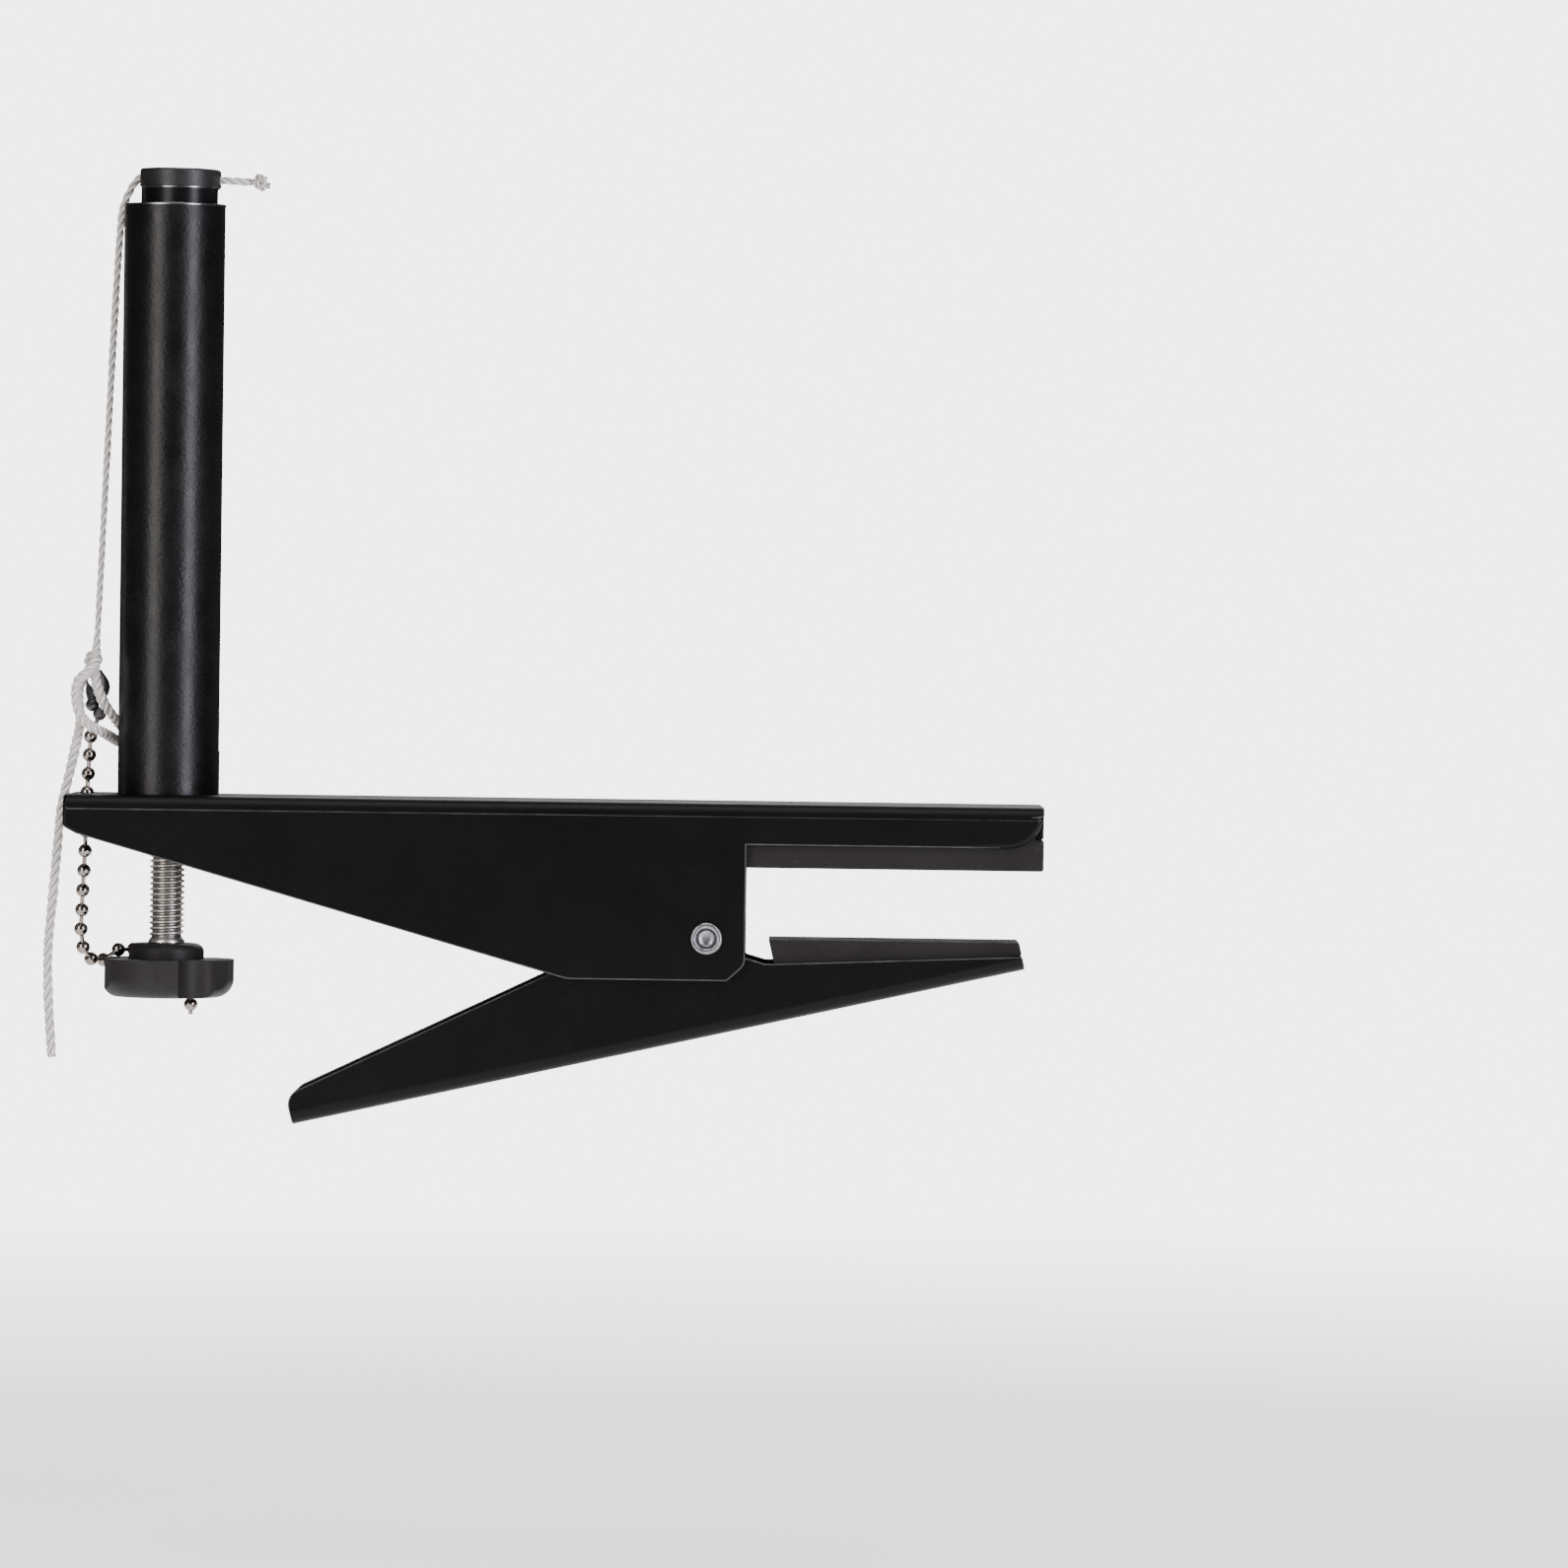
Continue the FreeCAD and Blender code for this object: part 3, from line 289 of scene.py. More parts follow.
def cap_coat():
    skin = Surface("gloss_black_cap", (0.009, 0.0085, 0.0088), 0.42, specular=0.44)
    cloud = skin.noise(45.0, 4.0)
    base = skin.mix_colour(cloud, (0.0075, 0.007, 0.0072), (0.0115, 0.011, 0.0113), 0.3, 0.7)
    skin.mix_colour(skin.noise(2000.0, 2.0), base, (0.03, 0.029, 0.03), 0.62, 0.82)
    skin.vary_roughness(skin.noise(240.0, 4.0), 0.36, 0.48)
    skin.bump(skin.noise(1500.0, 3.0), 0.00005, 0.6)
    return skin.material


def gloss_coat():
    skin = Surface("gloss_black", (0.004, 0.004, 0.0044), 0.26, specular=0.19)
    skin.mix_colour(skin.noise(45.0, 3.0), (0.0032, 0.0032, 0.0035), (0.0052, 0.0052, 0.0057), 0.3, 0.7)
    skin.vary_roughness(skin.noise(220.0, 4.0), 0.24, 0.34)
    rings = skin.noise(1.0, 3.0, skin.stretched(60.0, 60.0, 2600.0))
    skin.bump(rings, 0.00003, 0.8)
    return skin.material


def polished_lip():
    """Turned edges polished bare by the sliding post."""
    skin = Surface("polished_lip", (0.24, 0.24, 0.245), 0.24, 1.0)
    skin.mix_colour(skin.noise(90.0, 3.0), (0.19, 0.19, 0.193), (0.3, 0.3, 0.308), 0.3, 0.7)
    skin.vary_roughness(skin.noise(300.0, 4.0), 0.2, 0.32)
    return skin.material


def edge_highlight_coat():
    """The pressings' edges, in a coat much paler than the black: a painted highlight along the rounds."""
    skin = Surface("edge_highlight_coat", (0.03, 0.0285, 0.028), 0.34, specular=0.5)
    skin.mix_colour(skin.noise(220.0, 4.0), (0.014, 0.013, 0.013), (0.05, 0.0475, 0.047), 0.35, 0.7)
    skin.vary_roughness(skin.noise(500.0, 3.0), 0.28, 0.42)
    return skin.material


def pad_rubber():
    skin = Surface("pad_rubber", (0.008, 0.0068, 0.0062), 0.75, specular=0.25)
    cloud = skin.noise(60.0, 5.0)
    base = skin.mix_colour(cloud, (0.0062, 0.005, 0.0046), (0.0115, 0.0097, 0.0088), 0.3, 0.7)
    skin.mix_colour(skin.noise(1500.0, 3.0), base, (0.03, 0.027, 0.0245), 0.64, 0.85)
    skin.vary_roughness(skin.noise(120.0, 4.0), 0.62, 0.85)
    skin.bump(skin.noise(1300.0, 4.0), 0.00009, 0.7)
    return skin.material


def knob_plastic():
    skin = Surface("knob_plastic", (0.012, 0.0113, 0.011), 0.5, specular=0.16)
    cloud = skin.noise(75.0, 4.0)
    base = skin.mix_colour(cloud, (0.0125, 0.0114, 0.011), (0.018, 0.0167, 0.0162), 0.3, 0.7)
    scuffs = skin.noise(420.0, 5.0, skin.stretched(0.5, 0.5, 2.2))
    skin.mix_colour(scuffs, base, (0.034, 0.033, 0.0325), 0.63, 0.85)
    skin.vary_roughness(skin.noise(190.0, 4.0), 0.42, 0.56)
    skin.bump(skin.noise(1700.0, 3.0), 0.00005, 0.6)
    return skin.material


def zinc_plate():
    """Bright zinc with painted shade in the thread: darker towards the root radius, round the screw's axis by
    radius.
    """
    skin = Surface("zinc_plate", (0.62, 0.6, 0.57), 0.34, 1.0)
    offset = skin.tree.nodes.new("ShaderNodeVectorMath")
    offset.operation = "SUBTRACT"
    offset.inputs[1].default_value = (SCREW_X, 0, 0)
    skin.link(skin.place, offset.inputs[0])
    flat = skin.tree.nodes.new("ShaderNodeVectorMath")
    flat.operation = "MULTIPLY"
    flat.inputs[1].default_value = (1, 1, 0)
    skin.link(offset.outputs["Vector"], flat.inputs[0])
    radius = skin.tree.nodes.new("ShaderNodeVectorMath")
    radius.operation = "LENGTH"
    skin.link(flat.outputs["Vector"], radius.inputs[0])
    mottle = skin.noise(300.0, 3.0)
    base = skin.mix_colour(mottle, (0.60, 0.58, 0.55), (0.72, 0.70, 0.675), 0.3, 0.7)
    # Painted shade: the colour darkens from the thread's crest towards its root.
    depth = skin.ranged(radius.outputs["Value"], THREAD_ROOT, THREAD_CREST, 1.0, 0.0)
    skin.mix_colour(depth, base, (0.24, 0.225, 0.205), 0.1, 1.0)
    skin.vary_roughness(skin.noise(420.0, 3.0), 0.3, 0.42)
    return skin.material


def nickel(name, colour, rough):
    skin = Surface(name, colour, rough, 1.0)
    dull = tuple(part * 0.72 for part in colour)
    skin.mix_colour(skin.noise(380.0, 4.0), dull, colour, 0.3, 0.6)
    skin.vary_roughness(skin.noise(700.0, 3.0), rough * 0.75, rough * 1.6)
    skin.bump(skin.noise(2600.0, 2.0), 0.00001, 0.4)
    return skin.material


def turned_steel():
    skin = Surface("bright_steel", (0.58, 0.58, 0.6), 0.3, 1.0)
    rings = skin.noise(1.0, 3.0, skin.stretched(90.0, 5200.0, 90.0))
    skin.mix_colour(rings, (0.46, 0.46, 0.48), (0.66, 0.66, 0.68), 0.3, 0.7)
    skin.vary_roughness(skin.noise(260.0, 3.0), 0.24, 0.4)
    skin.bump(rings, 0.00001, 0.6)
    return skin.material


def rivet_steel():
    """Plated steel, mottled darker and lighter at random."""
    skin = Surface("rivet_steel", (0.26, 0.26, 0.27), 0.3, 1.0)
    skin.mix_colour(skin.noise(700.0, 4.0), (0.15, 0.15, 0.155), (0.36, 0.36, 0.38), 0.3, 0.7)
    skin.vary_roughness(skin.noise(500.0, 3.0), 0.24, 0.42)
    skin.bump(skin.noise(900.0, 3.0), 0.00002, 0.6)
    return skin.material


def spring_steel():
    skin = Surface("spring_steel", (0.16, 0.16, 0.17), 0.38, 1.0)
    skin.mix_colour(skin.noise(420.0, 5.0), (0.10, 0.10, 0.11), (0.24, 0.235, 0.23), 0.3, 0.7)
    skin.vary_roughness(skin.noise(600.0, 4.0), 0.28, 0.5)
    skin.bump(skin.noise(1900.0, 3.0), 0.00002, 0.6)
    return skin.material


def black_oxide():
    skin = Surface("black_oxide", (0.045, 0.045, 0.048), 0.42, 0.85)
    skin.mix_colour(skin.noise(360.0, 4.0), (0.03, 0.03, 0.033), (0.065, 0.064, 0.066), 0.3, 0.7)
    skin.vary_roughness(skin.noise(500.0, 4.0), 0.34, 0.55)
    skin.bump(skin.noise(1800.0, 3.0), 0.00003, 0.6)
    return skin.material


def nylon():
    skin = Surface("nylon", (0.72, 0.7, 0.64), 0.48)
    skin.shader.inputs["Subsurface Weight"].default_value = 0.12
    skin.shader.inputs["Subsurface Scale"].default_value = 0.001
    skin.mix_colour(skin.noise(280.0, 4.0), (0.66, 0.64, 0.58), (0.76, 0.745, 0.69), 0.3, 0.7)
    skin.vary_roughness(skin.noise(420.0, 3.0), 0.4, 0.58)
    skin.bump(skin.noise(1500.0, 3.0), 0.00003, 0.4)
    return skin.material


def white_cord():
    """Fibres run along each strand: u is the length along it in millimetres, v goes once round it; painted shade
    darkens each strand on its side towards the cord's axis, in the grooves.
    """
    skin = Surface("white_cord", (0.66, 0.62, 0.59), 0.85, specular=0.2)
    skin.shader.inputs["Sheen Weight"].default_value = 0.2
    skin.shader.inputs["Sheen Roughness"].default_value = 0.5
    across = skin.tree.nodes.new("ShaderNodeTexCoord").outputs["UV"]
    parts = skin.tree.nodes.new("ShaderNodeSeparateXYZ")
    skin.link(across, parts.inputs["Vector"])
    turn = skin.tree.nodes.new("ShaderNodeMath")
    turn.operation = "MULTIPLY"
    turn.inputs[1].default_value = 2 * math.pi
    skin.link(parts.outputs["Y"], turn.inputs[0])
    outward = skin.tree.nodes.new("ShaderNodeMath")
    outward.operation = "COSINE"
    skin.link(turn.outputs["Value"], outward.inputs[0])
    fibres = skin.noise(1.0, 3.0, skin.stretched(0.8, 22.0, 1.0, across))
    grey = skin.noise(140.0, 4.0)
    base = skin.mix_colour(grey, (0.72, 0.675, 0.64), (0.88, 0.85, 0.825), 0.3, 0.65)
    base = skin.mix_colour(fibres, base, (0.60, 0.555, 0.52), 0.5, 0.8)
    # Painted shade: darker on each strand's inner side, where the strands meet in the grooves.
    groove_shade = skin.ranged(outward.outputs["Value"], -0.35, 0.75, 1.0, 0.0)
    skin.mix_colour(groove_shade, base, (0.36, 0.325, 0.30), 0.0, 1.0)
    skin.bump(fibres, 0.00016, 0.9)
    skin.bump(skin.noise(3200.0, 3.0), 0.00004, 0.5)
    return skin.material


MATERIALS = {
    "black_powder_coat": powder_coat(),
    "satin_black_tube": tube_coat(),
    "gloss_black": gloss_coat(),
    "gloss_black_cap": cap_coat(),
    "polished_lip": polished_lip(),
    "edge_highlight_coat": edge_highlight_coat(),
    "pad_rubber": pad_rubber(),
    "knob_plastic": knob_plastic(),
    "zinc_plate": zinc_plate(),
    "nickel": nickel("nickel", (0.50, 0.49, 0.48), 0.24),
    "bead_nickel": nickel("bead_nickel", (0.31, 0.275, 0.245), 0.14),
    "bright_steel": turned_steel(),
    "rivet_steel": rivet_steel(),
    "spring_steel": spring_steel(),
    "black_oxide": black_oxide(),
    "nylon": nylon(),
    "white_cord": white_cord(),
}


SLOTS = {part["node"]: part["material_slot"] for part in frame["record"]["subparts"]}


def dress_frame():
    """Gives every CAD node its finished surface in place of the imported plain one."""
    for name, node in frame["nodes"].items():
        for place in node.material_slots:
            place.material = MATERIALS[SLOTS[name]]


# --------------------------------------------------------------------------------------- mesh tools


def blend_in(value, low, high):
    """Rises smoothly from 0 at low to 1 at high."""
    part = min(max((value - low) / (high - low), 0.0), 1.0)
    return part * part * (3 - 2 * part)


def body_holding(node):
    """The name of the moving body that the node belongs to."""
    bodies = frame["record"]["behaviour"]["bodies"]
    return next(body for body, nodes in bodies.items() if node in nodes)


EDGE_ROUNDS = {
    "upper_bracket": 0.3 * MM,
    "lower_lever": 0.3 * MM,
    "upper_jaw_pad": 0.5 * MM,
    "lower_jaw_pad": 0.5 * MM,
    "post_tube": 0.36 * MM,
    "post_cap": 0.12 * MM,
    "knob": 0.3 * MM,
    "knob_nut": 0.2 * MM,
    "post_foot_nut": 0.25 * MM,
}
# The pressings whose rounded edges carry a painted highlight.
EDGE_HIGHLIGHTED = ("upper_bracket", "lower_lever")
SHARP_ANGLE = math.radians(34)
FLAT_ANGLE = math.radians(0.6)
CREASE_ANGLE = math.radians(50)
WELD = 0.002 * MM
TIP_REACH = 8.5 * MM
TIP_ROUND = 1.2 * MM
NEAR = 0.1 * MM


def round_edges(shape, edges, width, segments, clamp=True):
    """Rounds the edges and returns the new faces; clamping holds the rounds back where edges are short."""
    made = bmesh.ops.bevel(
        shape,
        geom=edges,
        offset=width,
        offset_type="OFFSET",
        segments=segments,
        profile=0.5,
        affect="EDGES",
        clamp_overlap=clamp,
    )
    return made["faces"]


def sharp_edges(shape):
    """The convex edges that a tool or a hand would find sharp."""
    outer = [edge for edge in shape.edges if len(edge.link_faces) == 2 and edge.is_convex]
    return [edge for edge in outer if edge.calc_face_angle(0.0) > SHARP_ANGLE]


def on_tip_arc(edge):
    """The outer edges of the rounded corners at the upper jaw's tip."""
    tip, face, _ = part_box("upper_bracket")[1]
    reach = max(abs(vert.co.y) for vert in edge.verts)
    across = min(abs(vert.co.y) for vert in edge.verts)
    along = min(vert.co.x for vert in edge.verts)
    return across > face - NEAR and reach - across < NEAR and along > tip - TIP_REACH


def soften(node, width):
    """Shows a copy of a CAD node in its place, with its sharp outer edges rounded and, on the pressings, a painted
    highlight along the rounds.
    """
    edge_lit = node in EDGE_HIGHLIGHTED
    shape = bmesh.new()
    shape.from_mesh(frame["nodes"][node].data)
    bmesh.ops.remove_doubles(shape, verts=shape.verts, dist=WELD)
    bmesh.ops.dissolve_limit(
        shape, angle_limit=FLAT_ANGLE, verts=shape.verts, edges=shape.edges, delimit={"NORMAL"}
    )
    if node == "upper_bracket":
        round_edges(shape, [edge for edge in sharp_edges(shape) if on_tip_arc(edge)], TIP_ROUND, 4)
    rounded = round_edges(shape, sharp_edges(shape), width, 2, clamp=not edge_lit)
    if edge_lit:
        # The rounds take the paler coat: a painted highlight along the edges.
        for face in rounded:
            face.material_index = 1
    mesh = bpy.data.meshes.new(f"{node}_finished")
    shape.to_mesh(mesh)
    shape.free()
    mesh.materials.append(MATERIALS[SLOTS[node]])
    if edge_lit:
        mesh.materials.append(MATERIALS["edge_highlight_coat"])
    mesh.polygons.foreach_set("use_smooth", [True] * len(mesh.polygons))
    mesh.set_sharp_from_angle(angle=CREASE_ANGLE)
    piece = bpy.data.objects.new(f"{node}_finished", mesh)
    bpy.context.scene.collection.objects.link(piece)
    even = piece.modifiers.new("even_normals", "WEIGHTED_NORMAL")
    even.keep_sharp = True
    even.weight = 80
    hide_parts(node)
    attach(piece, body_holding(node))


def add_piece(name, verts, faces, slot, finish=None):
    """A new visual piece; finish names its material where that isn't the slot's own."""
    mesh = bpy.data.meshes.new(name)
    mesh.from_pydata([tuple(vert) for vert in verts], [], faces)
    mesh.validate()
    mesh.materials.append(MATERIALS[finish or slot])
    piece = bpy.data.objects.new(name, mesh)
    bpy.context.scene.collection.objects.link(piece)
    mesh.polygons.foreach_set("use_smooth", [True] * len(mesh.polygons))
    return piece


def frames_along(points):
    """Tangent, side and up at each point, turned as little as the line allows."""
    tangents = []
    for index in range(len(points)):
        ahead = points[min(index + 1, len(points) - 1)]
        behind = points[max(index - 1, 0)]
        tangents.append((ahead - behind).normalized())
    side = tangents[0].orthogonal().normalized()
    found = []
    for tangent in tangents:
        side = (side - tangent * side.dot(tangent)).normalized()
        found.append((tangent, side, tangent.cross(side)))
    return found


def tube(centres, radius_at, sides, outward=None):
    """Vertices, faces and (along, around) pairs of a closed tube; radius_at takes the index of a ring.

    Where outward is given, around is 0 on the side that faces that way.
    """
    verts = []
    faces = []
    spots = []
    along = 0.0
    frames = frames_along(centres)
    if outward is not None:
        turned = []
        for (tangent, _, _), way in zip(frames, outward):
            side = (way - tangent * way.dot(tangent)).normalized()
            turned.append((tangent, side, tangent.cross(side)))
        frames = turned
    for index, (centre, (_, side, up)) in enumerate(zip(centres, frames)):
        if index:
            along += (centre - centres[index - 1]).length
        for step in range(sides):
            angle = 2 * math.pi * step / sides
            verts.append(centre + (side * math.cos(angle) + up * math.sin(angle)) * radius_at(index))
            spots.append((along / MM, step / sides))
    for ring in range(len(centres) - 1):
        for step in range(sides):
            after = (step + 1) % sides
            low = ring * sides
            faces.append((low + step, low + after, low + sides + after, low + sides + step))
    faces.append(tuple(reversed(range(sides))))
    last = (len(centres) - 1) * sides
    faces.append(tuple(last + step for step in range(sides)))
    return verts, faces, spots


def gather(parts):
    """Joins several (vertices, faces) pairs into one."""
    verts = []
    faces = []
    for more_verts, more_faces in parts:
        base = len(verts)
        verts.extend(more_verts)
        faces.extend(tuple(base + corner for corner in face) for face in more_faces)
    return verts, faces


def lathe(profile, segments):
    """Turns (radius, height) pairs about the Z axis; a profile that starts and ends on the axis is closed."""
    on_axis = 1e-9
    verts = []
    faces = []
    rings = []
    for radius, height in profile:
        if radius < on_axis:
            rings.append([len(verts)])
            verts.append(Vector((0, 0, height)))
            continue
        rings.append(list(range(len(verts), len(verts) + segments)))
        for step in range(segments):
            angle = 2 * math.pi * step / segments
            verts.append(Vector((radius * math.cos(angle), radius * math.sin(angle), height)))
    for lower, upper in zip(rings, rings[1:]):
        for step in range(segments):
            after = (step + 1) % segments
            corners = [lower[step % len(lower)], lower[after % len(lower)]]
            corners += [upper[after % len(upper)], upper[step % len(upper)]]
            face = tuple(dict.fromkeys(corners))
            if len(face) > 2:
                faces.append(face)
    return verts, faces


# ------------------------------------------------------------------------------------- tension cord

# The cord's control points, in millimetres: the stopper's side of the cap first, the cut end last.
CORD_ROUTE = [
    (-112.55, 0.0, 150.75),
    (-134.4, 0.0, 151.75),
    (-137.3, 0.0, 151.9),
    (-140.4, 0.0, 146.6),
    (-141.6, 0.0, 139.8),
    (-145.18, 0.0, 52.7),
    (-145.36, -0.1, 49.0),
    (-145.5, -0.7, 45.6),
    (-145.8, -1.1, 42.0),
    (-145.4, -0.7, 38.4),
    (-143.9, 0.0, 34.6),
    (-142.2, 1.2, 32.0),
    (-140.6, 5.0, 29.6),
    (-139.2, 10.0, 28.0),
    (-140.4, 9.8, 25.2),
    (-142.0, 3.6, 26.6),
    (-144.2, -1.8, 28.1),
    (-147.2, -2.8, 29.6),
    (-149.6, -2.6, 33.0),
    (-150.0, -2.2, 37.6),
    (-149.0, -2.4, 40.0),
    (-147.0, -3.0, 41.1),
    (-146.2, -2.9, 42.7),
    (-145.3, -2.5, 43.6),
    (-145.2, 0.4, 44.1),
    (-145.8, 2.3, 44.5),
    (-147.1, 1.2, 44.9),
    (-147.2, 1.9, 43.4),
    (-147.0, 3.2, 41.6),
    (-148.6, 3.0, 40.2),
    (-149.7, 1.9, 37.0),
    (-149.1, 1.4, 32.8),
    (-149.0, 1.2, 29.6),
    (-149.6, 0.9, 26.4),
    (-150.4, 0.7, 22.4),
    (-151.4, 0.6, 17.8),
    (-152.4, 0.5, 13.6),
    (-153.3, 0.4, 9.4),
    (-153.5, 0.2, 4.6),
    (-154.1, 0.0, -3.0),
    (-154.8, 0.1, -11.5),
    (-155.6, 0.0, -20.5),
    (-155.4, -0.2, -30.0),
    (-154.9, 0.0, -38.0),
    (-154.4, 0.2, -44.6),
]
CAP_RADIUS = 0.86 * MM
TAUT_RADIUS = 0.74 * MM
KNOT_RADIUS = 1.18 * MM
SLACK_RADIUS = 1.1 * MM
TAUT_TURN = 7.4 * MM
KNOT_TURN = 5.0 * MM
SLACK_TURN = 7.4 * MM
STRAND_SHARE = 0.464
STRAND_PRESS = 1.04
TAUT_END = 0.051
TAIL_START = 0.026
CAP_HEIGHT = 0.146

# The cord swells into its knot, and slackens out of it, over these numbers of steps along its line.
CORD_STEP = 0.3 * MM
SWELL_OVER = 24
SLACK_FROM = -20
SLACK_TO = 40


def smooth_line(route, resolution):
    """Points read from the NURBS spline whose control points are the route's."""
    curve = bpy.data.curves.new("route", "CURVE")
    curve.dimensions = "3D"
    spline = curve.splines.new("NURBS")
    spline.points.add(len(route) - 1)
    for point, place in zip(spline.points, route):
        point.co = (*(Vector(place) * MM), 1.0)
    spline.order_u = 3
    spline.use_endpoint_u = True
    curve.resolution_u = resolution
    holder = bpy.data.objects.new("route", curve)
    bpy.context.scene.collection.objects.link(holder)
    bpy.context.view_layer.update()
    mesh = bpy.data.meshes.new_from_object(holder)
    points = [vert.co.copy() for vert in mesh.vertices]
    bpy.data.objects.remove(holder)
    bpy.data.curves.remove(curve)
    bpy.data.meshes.remove(mesh)
    return points


def evenly(points, step):
    """The same line with its points a fixed step apart."""
    placed = [points[0].copy()]
    left = step
    for start, end in zip(points, points[1:]):
        run = (end - start).length
        done = 0.0
        while run - done >= left:
            done += left
            placed.append(start.lerp(end, done / run))
            left = step
        left -= run - done
    placed.append(points[-1].copy())
    return placed


def twisted(name, line, radius_at, turn_at, sides=12):
    """A rope of three strands laid round the line, each a tube with fibres along it."""
    strands = 3
    frames = frames_along(line)
    all_verts = []
    all_faces = []
    all_spots = []
    for strand in range(strands):
        phase = 2 * math.pi * strand / strands
        centres = []
        outward = []
        for index, (centre, (_, side, up)) in enumerate(zip(line, frames)):
            if index:
                phase += 2 * math.pi * (centre - line[index - 1]).length / turn_at(index)
            reach = radius_at(index) * (1 - STRAND_SHARE)
            outward.append(side * math.cos(phase) + up * math.sin(phase))
            centres.append(centre + outward[-1] * reach)
        verts, faces, spots = tube(
            centres, lambda index: radius_at(index) * STRAND_SHARE * STRAND_PRESS, sides, outward
        )
        base = len(all_verts)
        all_verts.extend(verts)
        all_faces.extend(tuple(base + corner for corner in face) for face in faces)
        all_spots.extend(spots)
    piece = add_piece(name, all_verts, all_faces, "white_cord")
    layer = piece.data.uv_layers.new(name="fibres")
    for loop in piece.data.loops:
        layer.data[loop.index].uv = all_spots[loop.vertex_index]
    return piece


def make_cord():
    """The white cord from the stopper over the cap, tight down to its knot, then slack to its cut end."""
    line = evenly(smooth_line(CORD_ROUTE, 24), CORD_STEP)
    heights = [point.z for point in line]
    first_slack = next(index for index, height in enumerate(heights) if height < TAUT_END)
    first_tail = max(index for index, height in enumerate(heights) if height > TAIL_START)

    def by_stretch(index, at_cap, taut, knot, slack):
        """Changes from the value at the cap to the taut one, the knot's and the slack one, without a step."""
        if index < first_slack:
            return taut + (at_cap - taut) * blend_in(heights[index], TAUT_END, CAP_HEIGHT)
        knotted = blend_in(index - first_slack, 0, SWELL_OVER)
        loose = blend_in(index - first_tail, SLACK_FROM, SLACK_TO)
        return taut + (knot - taut) * knotted + (slack - knot) * loose

    def radius_at(index):
        thick = by_stretch(index, CAP_RADIUS, TAUT_RADIUS, KNOT_RADIUS, SLACK_RADIUS)
        uneven = 1 + 0.035 * math.sin(index * 0.07) + 0.03 * math.sin(index * 0.173 + 1.3)
        return thick * uneven

    def turn_at(index):
        return by_stretch(index, TAUT_TURN, TAUT_TURN, KNOT_TURN, SLACK_TURN)

    cord = twisted("tension_cord", line, radius_at, turn_at)
    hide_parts("tension_cord_run", "tension_cord_tail")
    knot = make_stopper()
    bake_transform(cord)


def make_stopper():
    """An overhand knot, drawn up small, on the net's side of the cap; its sizes are in millimetres."""
    low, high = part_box("cord_stopper_knot")
    middle = (Vector(low) + Vector(high)) / 2
    half_length = 0.8
    loop_size = 0.46
    share_drawn = 0.94
    steps = 150
    turns = []
    for step in range(steps + 1):
        angle = 2 * math.pi * (step / steps * share_drawn + (1 - share_drawn) / 2)
        along = math.sin(3 * angle) * half_length
        swing = (2 + math.cos(3 * angle)) * loop_size
        turns.append(Vector((along, math.cos(2 * angle) * swing, math.sin(2 * angle) * swing)))
    way_in = Vector((-(high[0] - low[0]) / 2 / MM - 0.04, 0, 0))
    way_out = Vector((1.9, 0.3, -0.7))
    in_steps = 12
    out_steps = 10
    line = [way_in.lerp(turns[0], part / in_steps) for part in range(in_steps)]
    line += turns
    line += [turns[-1].lerp(way_out, part / out_steps) for part in range(1, out_steps + 1)]
    line = evenly([middle + spot * MM for spot in line], CORD_STEP / 2)
    knot = twisted("stopper_knot", line, lambda index: TAUT_RADIUS, lambda index: TAUT_TURN, sides=8)
    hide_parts("cord_stopper_knot")
    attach(knot, "inner_post")
    return knot


# --------------------------------------------------------------------------------------- bead chain

# The centres of the balls and of the coupling's two straps, in millimetres, from the top down.
COUPLING_STRAP = [
    (-148.0, 4.6, 39.4),
    (-147.6, 4.7, 38.0),
    (-147.1, 4.8, 36.6),
    (-146.7, 4.7, 35.2),
    (-146.5, 4.6, 34.2),
]
COUPLING_BACK = [
    (-145.2, 5.2, 41.6),
    (-144.4, 5.4, 40.2),
    (-143.9, 5.6, 38.5),
    (-144.0, 5.5, 36.9),
    (-144.8, 5.2, 35.4),
]
COUPLING_BEADS = [(-146.9, 4.6, 35.4), (-146.6, 4.4, 33.9), (-144.9, 3.9, 31.9)]
BEAD_RADIUS = 1.54 * MM
HOLE_RADIUS = 0.62 * MM
PUNCHED_HOLE = ((0.0, 0.72), (0.8, 0.74), (0.86, 0.93))
LINK_RADIUS = 0.55 * MM
LINK_REACH = BEAD_RADIUS * 0.8
LINK_END = 0.7 * MM
CHAIN_TIE = [
    (-146.6, 0.8, 26.9),
    (-146.8, 0.1, 22.8),
    (-147.0, 0.0, 18.6),
    (-147.2, 0.0, 14.4),
    (-147.3, 0.0, 10.1),
]
CHAIN_DROP = [
    (-147.4, 0.0, 5.8),
    (-147.5, 0.0, 1.4),
    (-147.7, 0.1, -3.0),
    (-147.9, 0.3, -7.4),
    (-148.1, 0.6, -11.8),
    (-148.3, 1.2, -16.1),
    (-147.9, 2.8, -20.2),
    (-146.3, 6.0, -22.9),
]
CHAIN_TAIL = [
    (-143.8, 9.5, -23.2),
    (-140.3, 7.3, -20.8),
    (-137.1, 10.2, -20.8),
    (-133.1, 11.9, -20.8),
    (-129.0, 13.0, -20.8),
    (-125.9, 15.7, -21.1),
    (-125.0, 17.7, -25.0),
    (-124.7, 17.9, -29.2),
    (-124.7, 17.9, -33.3),
]


